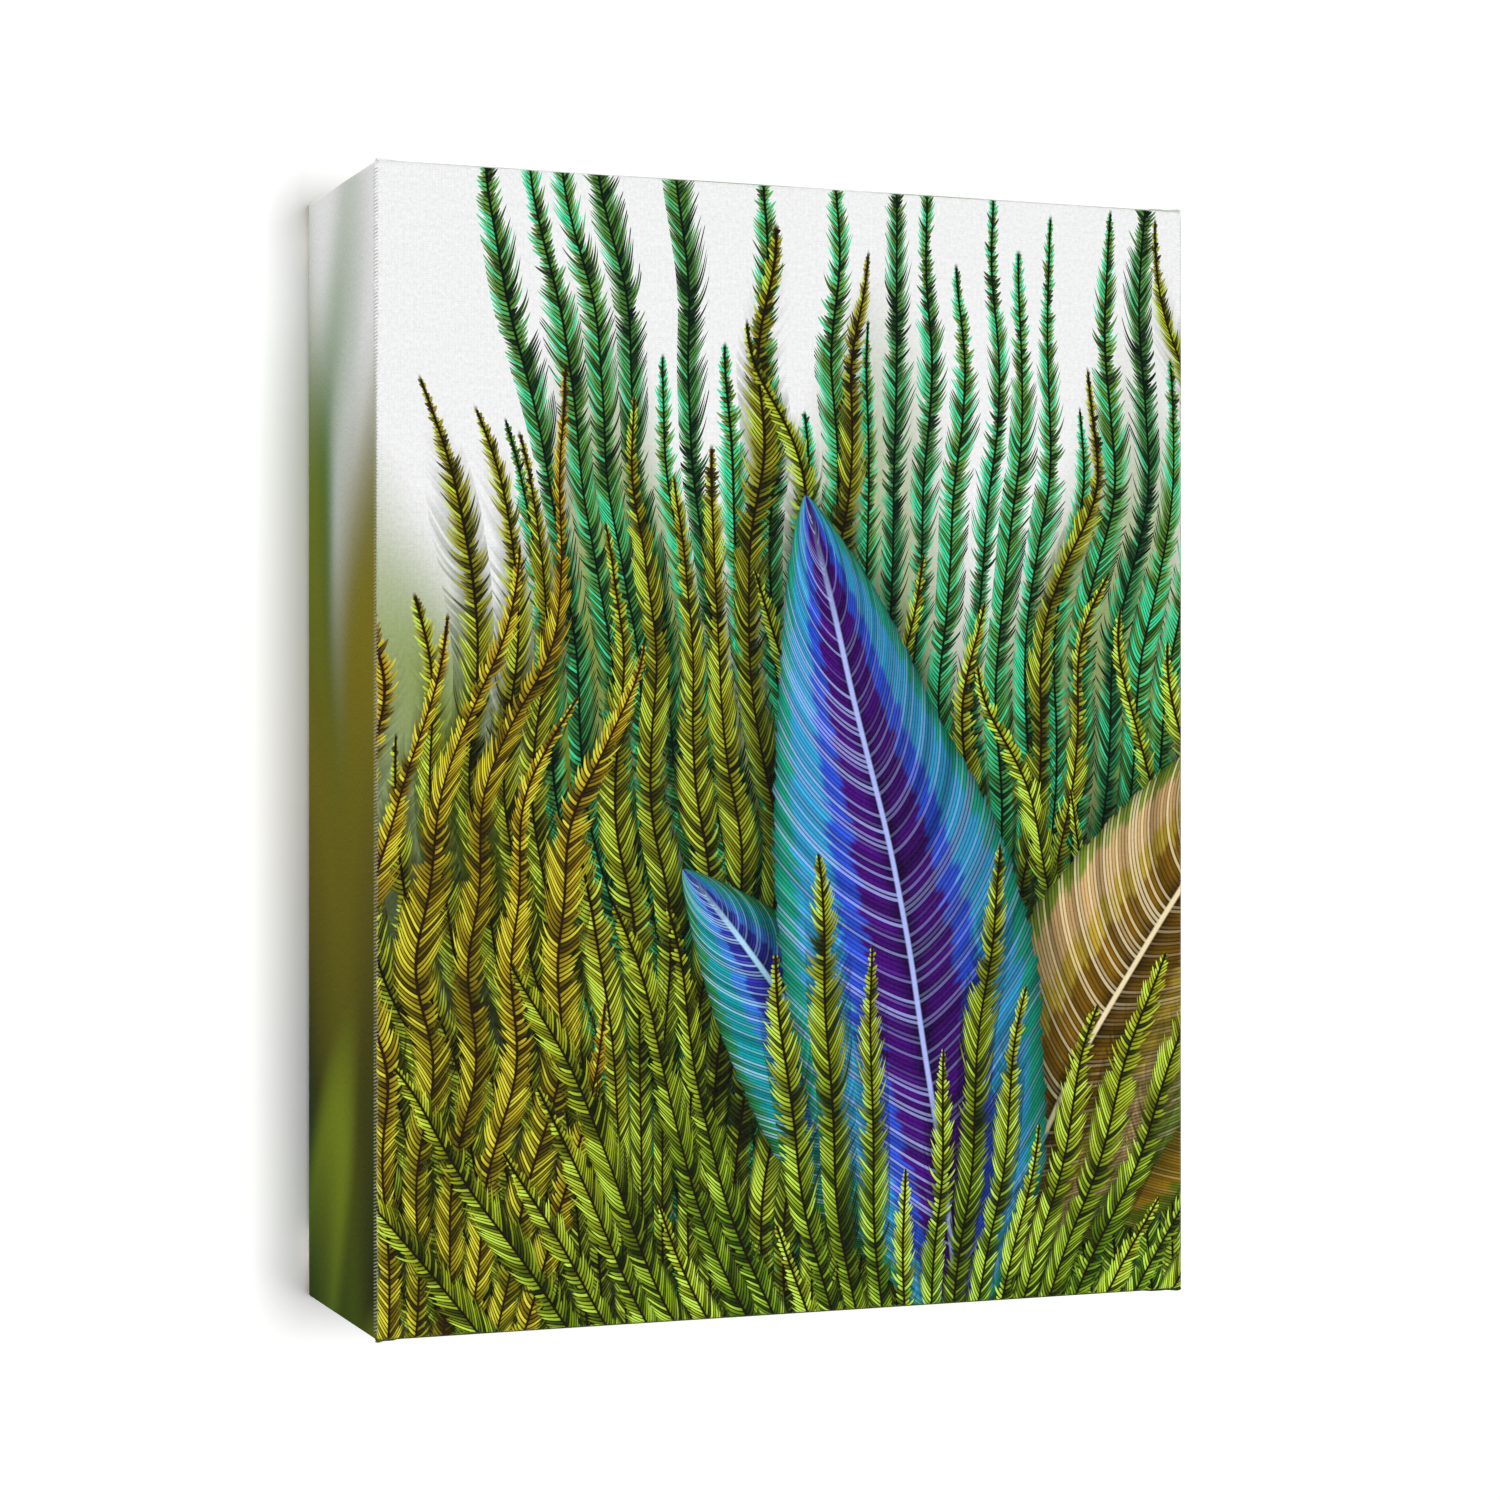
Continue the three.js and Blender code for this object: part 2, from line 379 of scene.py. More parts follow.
def draw_fold_wear(board: Board, given: dict[str, Wire]) -> dict[str, Wire]:
    """Slanted threads that show where the print cracks along a fold, most of all on the upright folds.

    Args:
        board: The group's tree.
        given: The wires of its inputs, by name.

    Returns:
        The wires of its outputs, by name.
    """
    slant, middle, reach = 0.22, 0.4 * MM, 1.0 * MM
    x, y, _ = board.parts(given["Place"])
    past_side, past_top = given["Past side"], given["Past top"]
    upright = board.math("GREATER_THAN", past_side, past_top)
    past = board.math("MAXIMUM", past_side, past_top)
    along = board.mad(past, slant, board.lerp(upright, x, y))
    thread = board.step(board.math("SINE", along * (math.tau / REPEAT[1])), 0.0, 0.75)
    crack = board.step(abs(past - middle), reach, 0.65 * reach)
    uneven = board.step(board.cloud(given["Place"], 420.0, 1.0), 0.3, 0.62)
    corner = board.step(board.math("MINIMUM", past_side, past_top), -0.6 * MM, -2.0 * MM)
    most = board.mad(upright, 0.68, 0.1) * board.mad(uneven, 0.55, 0.55)
    return {"Mask": crack * thread * corner * most}


class BladePlace:
    """Where a point lies in a fan of blades."""

    def __init__(self, board: Board, given: dict[str, Wire]) -> None:
        """Works out the distance from the root, and the number of blades between the point and the heading.

        Args:
            board: The group's tree.
            given: The wires of its inputs, by name.
        """
        place = board.turned(board.vector("SUBTRACT", given["Place"], given["Root"]), given["Turn"])
        x, y, _ = board.parts(place)
        self.far = board.vector("LENGTH", place, output=1)
        self.gather = board.mad(self.far, given["Gather"], 1.0)
        sway = given["Drift"] * given["Sway"]
        self.cell = board.mad(board.math("ARCTAN2", y, x), self.gather, sway) * given["Density"]


def draw_blades(board: Board, given: dict[str, Wire]) -> dict[str, Wire]:
    """A fan of long fringed blades from one root, each with its own length, width, lean and tone.

    Each blade is a dark rib with a fringe of slanted barbs on both sides. Its edge is the ragged line of the
    barbs' tips.

    Args:
        board: The group's tree.
        given: The wires of its inputs, by name.

    Returns:
        The wires of its outputs, by name.
    """
    at = BladePlace(board, given)
    index = board.floor(at.cell)
    length_luck, lean_luck, tone_luck = board.chance(index + given["Seed"])
    offset = at.cell - index + board.mad(lean_luck, 0.26, -0.63)
    across = offset * at.far / (at.gather * given["Density"])
    side = abs(across)
    alive = board.step(abs(index), given["Span"], given["Span"] * 0.7) * given["Reach"]
    along = at.far / board.mad(alive, board.mad(length_luck, given["Ragged"] * -1.0, 1.0), 0.001)
    taper = board.math("SQRT", board.mad(along, -5.0, 5.0, clamp=True))
    width = given["Width"] * taper * board.mad(tone_luck, 0.5, 0.75)
    # The barbs curve away from the rib. Each has its own length and brightness.
    tuft = board.math("SINE", board.mad(at.far, 47.0, tone_luck * 25.0))
    swept = side * board.mad(side, 42.0, board.mad(tuft, 0.4, 0.75))
    run = board.mad(at.far - swept, given["Barbs"], length_luck * 7.0)
    barb = board.floor(run)
    phase = run - barb
    left = board.math("GREATER_THAN", across, 0.0)
    barb_luck, barb_tone, barb_tint = board.chance(board.mad(index, 31.7, board.mad(barb, 2.0, left)))
    out = side / board.mad(width, board.mad(barb_luck, 0.55, board.mad(tuft, 0.1, 0.45)), 0.00001)
    middle = board.mad(phase, 2.0, -1.0)
    bow = middle * middle
    sharp = board.step(board.mad(bow, 0.5, out), 1.0, 0.86) * board.step(along, 1.0, 0.995)
    glow = board.step(bow, 0.95, 0.1) * board.mad(barb_tone, 0.95, 0.22) * board.mad(left, 0.3, 0.75)
    glow = glow * board.mad(length_luck, 0.6, board.mad(tuft, 0.15, 0.62)) * board.mad(out, 0.5, 0.68)
    body = board.blend(tone_luck, given["Body"], given["Second"])
    body = board.blend(board.mad(board.step(along, 0.55, 1.05), 0.75, barb_tint * 0.2), body, given["Tip"])
    inked = board.blend(board.step(glow, 0.06, 0.52), given["Shade"], body)
    inked = board.blend(board.step(glow, 0.38, 0.92), inked, given["Light"])
    inked = board.blend(board.step(abs(offset), 0.34, 0.52) * 0.9, inked, given["Shade"])
    inked = board.blend(board.step(side, 0.0017, 0.0006), inked, given["Rib"])
    shadow = board.step(out, 2.2, 0.7) * board.step(along, 1.0, 0.85)
    return {"Colour": inked, "Mask": sharp, "Shadow": shadow * given["Depth"]}


def draw_soft_blades(board: Board, given: dict[str, Wire]) -> dict[str, Wire]:
    """The same fan of blades out of focus: soft streaks along the blades.

    Args:
        board: The group's tree.
        given: The wires of its inputs, by name.

    Returns:
        The wires of its outputs, by name.
    """
    at = BladePlace(board, given)
    streak = board.mad(board.math("SINE", board.mad(at.cell, 0.95, given["Seed"])), 0.5, 0.5)
    broad = board.mad(board.math("SINE", board.mad(at.cell, 0.33, at.far * 5.0)), 0.5, 0.5)
    full = board.step(board.mad(streak, 0.24, at.far), given["Reach"], given["Reach"] * 0.78)
    full = full * board.step(abs(at.cell), given["Span"], given["Span"] * 0.7)
    body = board.blend(broad, given["Body"], given["Second"])
    colour = board.blend(board.mad(streak, 0.42, 0.12), given["Shade"], body)
    near_tip = board.step(at.far, given["Reach"] * 0.5, given["Reach"] * 0.86)
    colour = board.blend(near_tip, colour, given["Tip"])
    mask = full * board.mad(streak, 0.3, board.mad(broad, 0.3, 0.55), clamp=True)
    return {"Colour": colour, "Mask": mask, "Shadow": mask * given["Depth"]}


LEAF_SHADOW = 0.75


class LeafPlace:
    """Where a point lies on a leaf."""

    def __init__(self, board: Board, given: dict[str, Wire]) -> None:
        """Works out the run from base to tip, the distance from the rib and the width there.

        Args:
            board: The group's tree.
            given: The wires of its inputs, by name.
        """
        place = board.turned(board.vector("SUBTRACT", given["Place"], given["Base"]), given["Turn"])
        x, y, _ = board.parts(place)
        self.run = x / given["Length"]
        held = board.math("ADD", self.run, 0.0, clamp=True)
        drift = given["Drift"]
        self.y = board.mad(held * held, given["Curl"], board.mad(drift, 0.02, y))
        self.side = abs(self.y)
        bulge = board.math("SINE", (held ** 0.72) * math.pi) ** 0.8
        self.width = board.mad(given["Width"] * bulge, board.mad(drift, 0.3, 1.0), 0.0001)
        self.relative = board.math("DIVIDE", self.side, self.width, clamp=True)


def draw_leaf(board: Board, given: dict[str, Wire]) -> dict[str, Wire]:
    """A broad pointed leaf with a pale rib, curved side veins and bands of colour from the rib to the rim.

    Args:
        board: The group's tree.
        given: The wires of its inputs, by name.

    Returns:
        The wires of its outputs, by name.
    """
    at = LeafPlace(board, given)
    left = board.math("GREATER_THAN", at.y, 0.0)
    # Side veins sweep towards the tip as they near the rim, with fine lines between them.
    sweep = board.mad(at.relative ** 1.4, -0.15, at.run)
    phase = board.mad(sweep, given["Veins"], given["Drift"] * 0.5)
    vein = abs(board.mad(board.math("FRACT", phase), 2.0, -1.0))
    lines = phase * 8.0
    line = board.floor(lines)
    edge, bright, tint = board.chance(board.mad(line, 2.0, left + given["Seed"]))
    groove = board.step(abs(board.mad(lines - line, 2.0, -1.0)), 0.4, 1.0)
    mask = board.step(board.mad(at.width, board.mad(edge, 0.04, 0.96), at.side * -1.0), -0.0008, 0.0008)
    end = at.run - 0.5
    band = board.mad(edge, 0.09, board.mad(given["Drift"], 0.2, at.relative))
    band = board.mad(end * end, 0.5, band)
    colour = board.blend(board.step(band, 0.37, 0.43), given["Heart"], given["Band"])
    colour = board.blend(board.step(band, 0.55, 0.62), colour, given["Body"])
    colour = board.blend(board.step(band, 0.85, 0.92), colour, given["Rim"])
    shade = board.mad(vein * vein, -0.42, 1.0) * board.mad(bright, 0.55, 0.72) * board.mad(groove, -0.6, 1.0)
    shade = shade * board.mad(left, 0.35, 0.75) * board.step(at.relative, -0.05, 0.16)
    colour = board.vector("SCALE", colour, shade)
    sheen = board.step(tint + groove * -0.6, 0.45, 1.0) * board.mad(left, 0.4, 0.25)
    colour = board.blend(sheen, colour, given["Gleam"])
    rib = board.step(at.side, 0.0034, 0.0012) * board.step(at.run, 1.0, 0.8)
    colour = board.blend(rib, colour, given["Gleam"])
    colour = board.vector("SCALE", colour, board.step(at.relative, 1.1, 0.86))
    away = abs(end)
    mask = mask * board.step(away, 0.5, 0.497)
    shadow = board.step(at.side - at.width, 0.035, -0.004) * board.step(away, 0.55, 0.42)
    return {"Colour": colour, "Mask": mask, "Shadow": shadow * LEAF_SHADOW}


def draw_soft_leaf(board: Board, given: dict[str, Wire]) -> dict[str, Wire]:
    """The same leaf out of focus.

    Args:
        board: The group's tree.
        given: The wires of its inputs, by name.

    Returns:
        The wires of its outputs, by name.
    """
    at = LeafPlace(board, given)
    colour = board.blend(board.step(at.relative, 0.15, 0.6), given["Heart"], given["Band"])
    colour = board.blend(board.step(at.relative, 0.4, 0.9), colour, given["Body"])
    ends = board.step(abs(at.run - 0.5), 0.56, 0.4)
    over = at.side - at.width
    shadow = board.step(over, 0.05, -0.01) * ends
    return {"Colour": colour, "Mask": board.step(over, 0.02, -0.03) * ends, "Shadow": shadow * LEAF_SHADOW}


def draw_grain(board: Board, given: dict[str, Wire]) -> dict[str, Wire]:
    """Sawn softwood with its growth rings, seen along X, and the fine streaks of its fibres.

    Args:
        board: The group's tree.
        given: The wires of its inputs, by name.

    Returns:
        The wires of its outputs, by name.
    """
    place = board.vector("MULTIPLY", given["Place"], (0.16, 1.0, 1.0))
    warp = board.cloud(place, 14.0, 3.0) - 0.5
    _, y, z = board.parts(place)
    pith = board.join(0.0, y + warp * 0.05 + 0.031, z + warp * 0.04 + 0.043)
    rings = board.vector("LENGTH", pith, output=1) * given["Rings"] + warp * 1.3
    late = board.math("FRACT", rings)
    band = board.step(late, 0.35, 0.92) * board.step(late, 1.0, 0.94)
    fibre = board.cloud(board.vector("MULTIPLY", given["Place"], (60.0, 2600.0, 2600.0)), 1.0, 3.0)
    patch = board.cloud(given["Place"], 22.0, 2.0)
    return {"Ring": band, "Fibre": fibre, "Patch": patch}


def draw_scuffs(board: Board, given: dict[str, Wire]) -> dict[str, Wire]:
    """Fine rubbed lines and dull patches, as on plated wire and sheet metal.

    Args:
        board: The group's tree.
        given: The wires of its inputs, by name.

    Returns:
        The wires of its outputs, by name.
    """
    lines = board.cloud(board.vector("MULTIPLY", given["Place"], given["Stretch"]), 1.0, 4.0)
    patches = board.cloud(given["Place"], 420.0, 3.0)
    return {"Lines": lines, "Patches": patches}


class Focus(Enum):
    """How the picture is printed: sharp on the face, and soft where it wraps over the sides."""

    SHARP = "sharp"
    SOFT = "soft"


class Effects:
    """The effect groups, each built once."""

    def __init__(self) -> None:
        """Builds every group."""
        place = Port("Place", Kind.VECTOR)
        self.weave = Effect("Plain weave", [place], numbers("Height"), draw_weave)
        fold = [place, *numbers("Past side", "Past top")]
        self.fold_wear = Effect("Fold wear", fold, numbers("Mask"), draw_fold_wear)
        shared = [place, *numbers("Drift", "Turn", "Seed")]
        blades = [
            *shared,
            Port("Root", Kind.VECTOR),
            *numbers("Gather", "Sway", "Density", "Span", "Reach", "Ragged", "Width", "Barbs", "Depth"),
            *colours("Shade", "Body", "Second", "Tip", "Light", "Rib"),
        ]
        leaf = [
            *shared,
            Port("Base", Kind.VECTOR),
            *numbers("Length", "Width", "Curl", "Veins"),
            *colours("Heart", "Band", "Body", "Rim", "Gleam"),
        ]
        look = [*colours("Colour"), *numbers("Mask", "Shadow")]
        self.blades = {
            Focus.SHARP: Effect("Fan of blades", blades, look, draw_blades),
            Focus.SOFT: Effect("Soft fan of blades", blades, look, draw_soft_blades),
        }
        self.leaf = {
            Focus.SHARP: Effect("Broad leaf", leaf, look, draw_leaf),
            Focus.SOFT: Effect("Soft broad leaf", leaf, look, draw_soft_leaf),
        }
        softwood = [place, *numbers("Rings")]
        self.grain = Effect("Softwood grain", softwood, numbers("Ring", "Fibre", "Patch"), draw_grain)
        rubbed = [place, Port("Stretch", Kind.VECTOR)]
        self.scuffs = Effect("Scuffs", rubbed, numbers("Lines", "Patches"), draw_scuffs)


# --------------------------------------------------------------------------------------------------
# The printed picture
# --------------------------------------------------------------------------------------------------


@dataclass(frozen=True)
class Ground:
    """Where a point of the cloth lies on the picture, a slow noise there, and how sharp the print is."""

    place: Wire
    drift: Wire
    focus: Focus


def overprint(board: Board, motif: bpy.types.Node, colour: Feed, cast: Colour, under: Feed) -> Wire:
    """Prints a motif and the soft shadow round it over what is under it.

    Args:
        board: The material's tree.
        motif: The motif's effect node.
        colour: The motif's colour.
        cast: How much of the red, green and blue under it the shadow leaves.
        under: The colour so far.

    Returns:
        The colour with the motif on it.
    """
    dark = board.vector("MULTIPLY", under, cast)
    under = board.blend(board.out(motif, "Shadow"), under, dark)
    return board.blend(board.out(motif, "Mask"), under, colour)


@dataclass(frozen=True)
class BladeInk:
    """The inks of one fan of blades."""

    shade: Colour
    body: Colour
    second: Colour
    tip: Colour
    light: Colour
    rib: Colour


@dataclass(frozen=True)
class BladeFan:
    """One fan of blades in the picture, in picture units and degrees."""

    root: tuple[float, float]
    heading: float
    pitch: float
    span: float
    reach: float
    width: float
    seed: float
    ink: BladeInk
    ragged: float = 0.3
    gather: float = 0.6
    sway: float = 0.15
    barbs: float = 235.0
    depth: float = 0.85
    focus: Focus = Focus.SHARP
    cast: Colour = (0.30, 0.34, 0.26)
    blurred: Colour = (0.50, 0.66, 0.95)

    def print_on(self, board: Board, effects: Effects, ground: Ground, under: Feed) -> Wire:
        """Prints the fan over what is under it.

        Args:
            board: The material's tree.
            effects: The shared effect groups.
            ground: Where the point is on the picture, and how sharp the print is there.
            under: The colour so far.

        Returns:
            The colour with the fan on it.
        """
        focus = Focus.SOFT if Focus.SOFT in (self.focus, ground.focus) else Focus.SHARP
        motif = effects.blades[focus].place(
            board, place=ground.place, drift=ground.drift, turn=-math.radians(self.heading), seed=self.seed,
            root=(*self.root, 0.0), gather=self.gather, sway=self.sway, density=math.degrees(1 / self.pitch),
            span=self.span / self.pitch, reach=self.reach, ragged=self.ragged, width=self.width,
            barbs=self.barbs, depth=self.depth, **vars(self.ink),
        )
        colour = board.out(motif, "Colour")
        if ground.focus is Focus.SOFT:
            # The dark gaps between the blades mix in where the picture is blurred.
            colour = board.vector("MULTIPLY", colour, self.blurred)
        return overprint(board, motif, colour, self.cast, under)


@dataclass(frozen=True)
class LeafInk:
    """The inks of one broad leaf, from the rib to the rim."""

    heart: Colour
    band: Colour
    body: Colour
    rim: Colour
    gleam: Colour


@dataclass(frozen=True)
class BroadLeaf:
    """One broad leaf in the picture, in picture units and degrees."""

    base: tuple[float, float]
    heading: float
    length: float
    width: float
    curl: float
    veins: float
    seed: float
    ink: LeafInk
    cast: Colour = (0.16, 0.22, 0.16)

    def print_on(self, board: Board, effects: Effects, ground: Ground, under: Feed) -> Wire:
        """Prints the leaf, and its soft shadow round it, over what is under it.

        Args:
            board: The material's tree.
            effects: The shared effect groups.
            ground: Where the point is on the picture, and how sharp the print is there.
            under: The colour so far.

        Returns:
            The colour with the leaf on it.
        """
        motif = effects.leaf[ground.focus].place(
            board, place=ground.place, drift=ground.drift, turn=-math.radians(self.heading), seed=self.seed,
            base=(*self.base, 0.0), length=self.length, width=self.width, curl=-self.curl * self.length,
            veins=self.veins, **vars(self.ink),
        )
        return overprint(board, motif, board.out(motif, "Colour"), self.cast, under)


OLIVE = BladeInk(
    shade=(0.006, 0.008, 0.001), body=(0.095, 0.175, 0.006), second=(0.19, 0.25, 0.005),
    tip=(0.40, 0.33, 0.01), light=(0.58, 0.80, 0.07), rib=(0.014, 0.006, 0.002),
)
EMERALD = BladeInk(
    shade=(0.001, 0.010, 0.005), body=(0.006, 0.18, 0.075), second=(0.045, 0.29, 0.065),
    tip=(0.17, 0.34, 0.015), light=(0.03, 0.76, 0.38), rib=(0.002, 0.007, 0.004),
)
GOLD = BladeInk(
    shade=(0.014, 0.009, 0.001), body=(0.25, 0.20, 0.003), second=(0.13, 0.20, 0.003),
    tip=(0.50, 0.30, 0.008), light=(0.76, 0.72, 0.05), rib=(0.022, 0.008, 0.003),
)
LIME = BladeInk(
    shade=(0.004, 0.010, 0.001), body=(0.065, 0.235, 0.008), second=(0.19, 0.31, 0.005),
    tip=(0.46, 0.46, 0.012), light=(0.58, 0.86, 0.09), rib=(0.012, 0.006, 0.002),
)
SHADE = BladeInk(
    shade=(0.003, 0.010, 0.002), body=(0.025, 0.08, 0.006), second=(0.08, 0.10, 0.004),
    tip=(0.26, 0.36, 0.03), light=(0.05, 0.06, 0.004), rib=(0.003, 0.010, 0.002),
)

VIOLET_LEAF = LeafInk(
    heart=(0.065, 0.004, 0.20), band=(0.03, 0.09, 0.70), body=(0.04, 0.38, 0.70),
    rim=(0.012, 0.36, 0.22), gleam=(0.42, 0.5, 0.95),
)
BRONZE_LEAF = LeafInk(
    heart=(0.20, 0.10, 0.004), band=(0.42, 0.29, 0.03), body=(0.56, 0.36, 0.15),
    rim=(0.16, 0.24, 0.02), gleam=(0.9, 0.76, 0.46),
)
COBALT_LEAF = LeafInk(
    heart=(0.03, 0.03, 0.40), band=(0.04, 0.22, 0.75), body=(0.006, 0.32, 0.36),
    rim=(0.02, 0.24, 0.07), gleam=(0.45, 0.75, 1.0),
)
OCHRE_LEAF = LeafInk(
    heart=(0.12, 0.16, 0.004), band=(0.36, 0.22, 0.006), body=(0.44, 0.24, 0.01),
    rim=(0.14, 0.2, 0.006), gleam=(0.86, 0.68, 0.2),
)

PICTURE: tuple[Union[BladeFan, BroadLeaf], ...] = (
    BladeFan((0.04, -0.90), 89, 3.0, 92, 1.36, 0.0170, 5, SHADE, gather=0.5, focus=Focus.SOFT),
    BladeFan((0.12, -0.86), 89, 3.1, 52, 1.64, 0.0230, 11, EMERALD, ragged=0.30, gather=0.9, depth=0.0),
    BladeFan((-0.08, -1.05), 92, 2.6, 44, 1.52, 0.0220, 23, OLIVE, ragged=0.42, gather=0.4),
    BladeFan((-0.42, -1.30), 90, 1.9, 17, 1.72, 0.0240, 37, GOLD, ragged=0.32, gather=0.0),
    BladeFan((0.50, -1.10), 93, 2.6, 36, 1.70, 0.0220, 71, LIME, ragged=0.45, gather=0.2),
    BroadLeaf((0.18, -0.44), 36, 0.44, 0.090, -0.10, 15, 5, OCHRE_LEAF),
    BroadLeaf((0.18, -0.48), 66, 0.68, 0.120, -0.16, 19, 2, BRONZE_LEAF),
    BroadLeaf((0.16, -0.48), 120, 0.46, 0.090, 0.10, 16, 3, COBALT_LEAF),
    BroadLeaf((0.16, -0.52), 97, 0.76, 0.125, 0.08, 20, 7, VIOLET_LEAF),
    BladeFan((0.12, -0.86), 90, 4.2, 80, 0.80, 0.0200, 58, LIME, ragged=0.45, gather=0.3),
)


# --------------------------------------------------------------------------------------------------
# Finishes
# --------------------------------------------------------------------------------------------------


@dataclass(frozen=True)
class PrintedCanvas:
    """Primed cotton canvas with an inkjet picture, sharp on the face and mirrored and soft on the sides."""

    width: float
    height: float
    wrap: float
    relief: float = 0.12 * MM
    bleed: float = 5.0 * MM
    # Painted shade and painted highlight of the weave: the print is scaled by the first in the hollows, by
    # the second on the crests.
    thin_ink: float = 0.81
    full_ink: float = 1.07
    bared: float = 0.008
    primer: Colour = (0.882, 0.885, 0.887)
    bare: Colour = (0.68, 0.67, 0.63)
    worn: Colour = (0.34, 0.325, 0.295)

    def mirrored(self, board: Board, value: Wire, half: float) -> Wire:
        """Turns a coordinate back inwards where it passes the fold.

        Args:
            board: The material's tree.
            value: The flat coordinate, 0 in the middle of the face.
            half: The distance from the middle to the fold.

        Returns:
            The coordinate of the printed picture.
        """
        past = board.math("MAXIMUM", abs(value) - half, 0.0)
        return board.math("SIGN", value) * board.mad(past, -2.0, abs(value))

    def build(self, effects: Effects, focus: Focus) -> bpy.types.Material:
        """Makes the material.

        Args:
            effects: The shared effect groups.
            focus: How sharp the print is.

        Returns:
            The material.
        """
        material, board, shader = new_material(f"printed_canvas_{focus.value}")
        flat = board.out(board.node("UVMap", {}, uv_map=FLAT_MAP))
        across, up, _ = board.parts(flat)
        past_side = abs(across) - self.width / 2
        past_top = abs(up) - self.height / 2
        if focus is Focus.SOFT:
            across = self.mirrored(board, across, self.width / 2)
            up = self.mirrored(board, up, self.height / 2)
            place = board.vector("SCALE", board.join(across, up, 0.0), 1 / self.height)
        else:
            place = board.vector("SCALE", flat, 1 / self.height)
        ground = Ground(place, board.cloud(place, 3.2, 1.0) - 0.5, focus)
        printed: Feed = self.primer
        for motif in PICTURE:
            printed = motif.print_on(board, effects, ground, printed)
        # Painted shade in the thread hollows, painted highlight on the crests; the print cracks where the
        # cloth is bent.
        height = board.out(effects.weave.place(board, place=flat))
        printed = board.vector("SCALE", printed, board.lerp(height, self.thin_ink, self.full_ink))
        printed = board.blend(board.step(height, 0.35, 0.8) * self.bared, printed, self.primer)
        wear = effects.fold_wear.place(board, place=flat, past_side=past_side, past_top=past_top)
        printed = board.blend(board.out(wear), printed, self.worn)
        if focus is Focus.SOFT:
            edge = self.wrap + self.bleed
            past = board.math("MAXIMUM", past_side, past_top)
            bare = board.step(past, edge - 0.2 * MM, edge + 0.2 * MM)
            printed = board.blend(bare, printed, self.bare)
        rough = board.lerp(height, 0.82, 0.62)
        feeds = {"Base Color": printed, "Roughness": rough, "Specular IOR Level": 0.05}
        feed_shader(board, shader, feeds, height, self.relief)
        return material


@dataclass(frozen=True)
class RawCanvas:
    """The unprimed inner side of the canvas: natural cotton with dark seed flecks."""

    relief: float = 0.10 * MM
    light: Colour = (0.74, 0.68, 0.56)
    # The colour of the painted shade in the hollows between threads.
    dark: Colour = (0.46, 0.40, 0.30)
    mottle: Colour = (0.60, 0.52, 0.40)
    fleck: Colour = (0.2, 0.14, 0.08)

    def build(self, effects: Effects) -> bpy.types.Material:
        """Makes the material.

        Args:
            effects: The shared effect groups.

        Returns:
            The material.
        """
        material, board, shader = new_material("raw_canvas")
        flat = board.out(board.node("UVMap", {}, uv_map=FLAT_MAP))
        height = board.out(effects.weave.place(board, place=flat))
        # Painted shade: the cotton is darker in the hollows between threads than on their crests.
        cotton = board.blend(height, self.dark, self.light)
        cotton = board.blend(board.cloud(flat, 60.0, 3.0) * 0.3, cotton, self.mottle)
        flecks = board.step(board.cloud(flat, 900.0, 1.0), 0.715, 0.76)
        cotton = board.blend(flecks * 0.65, cotton, self.fleck)
        rough = board.lerp(height, 0.95, 0.82)
        feeds = {"Base Color": cotton, "Roughness": rough, "Specular IOR Level": 0.2}
        feed_shader(board, shader, feeds, height, self.relief)
        return material


class Grain(Enum):
    """Which way a bar's grain runs."""

    LEVEL = "level"
    UPRIGHT = "upright"


@dataclass(frozen=True)
class Pine:
    """Planed, unfinished pine."""

    early: Colour = (0.72, 0.53, 0.30)
    late: Colour = (0.52, 0.31, 0.13)
    fibre: Colour = (0.80, 0.62, 0.38)
    patch: Colour = (0.62, 0.42, 0.2)
    rings: float = 420.0
    relief: float = 0.12 * MM

    def build(self, effects: Effects, grain: Grain) -> bpy.types.Material:
        """Makes the material.

        Args:
            effects: The shared effect groups.
            grain: Which way the grain runs.

        Returns:
            The material.
        """
        material, board, shader = new_material(f"pine_{grain.value}")
        x, y, z = board.parts(board.out(board.node("TexCoord", {}), "Object"))
        place = board.join(x, y, z) if grain is Grain.LEVEL else board.join(z, y + 0.02, x)
        made = effects.grain.place(board, place=place, rings=self.rings)
        ring, fibre = board.out(made, "Ring"), board.out(made, "Fibre")
        wood = board.blend(ring * 0.8, self.early, self.late)
        wood = board.blend(board.step(fibre, 0.42, 0.75) * 0.55, wood, self.fibre)
        wood = board.blend(board.step(board.out(made, "Patch"), 0.45, 0.8) * 0.3, wood, self.patch)
        rough = board.lerp(fibre, 0.78, 0.6)
        feeds = {"Base Color": wood, "Roughness": rough, "Specular IOR Level": 0.3}
        feed_shader(board, shader, feeds, fibre + ring * 0.5, self.relief, 0.8)
        return material


@dataclass(frozen=True)
class PlatedSteel:
    """Plated steel with rubbed lines along it and duller patches."""

    name: str
    bright: Colour
    dull: Colour
    stretch: Point
    rough: float = 0.34
    relief: float = 0.02 * MM

    def build(self, effects: Effects) -> bpy.types.Material:
        """Makes the material.

        Args:
            effects: The shared effect groups.

        Returns:
            The material.
        """
        material, board, shader = new_material(self.name)
        place = board.out(board.node("TexCoord", {}), "Object")
        made = effects.scuffs.place(board, place=place, stretch=self.stretch)
        lines, patches = board.out(made, "Lines"), board.out(made, "Patches")
        shade = board.step(patches, 0.4, 0.7) * 0.6 + board.step(lines, 0.5, 0.8) * 0.35
        rough = board.lerp(patches, self.rough - 0.1, self.rough + 0.16)
        metal = board.blend(shade, self.bright, self.dull)
        feeds = {"Base Color": metal, "Roughness": rough, "Metallic": 1.0}
        feed_shader(board, shader, feeds, lines, self.relief, 0.7)
        return material


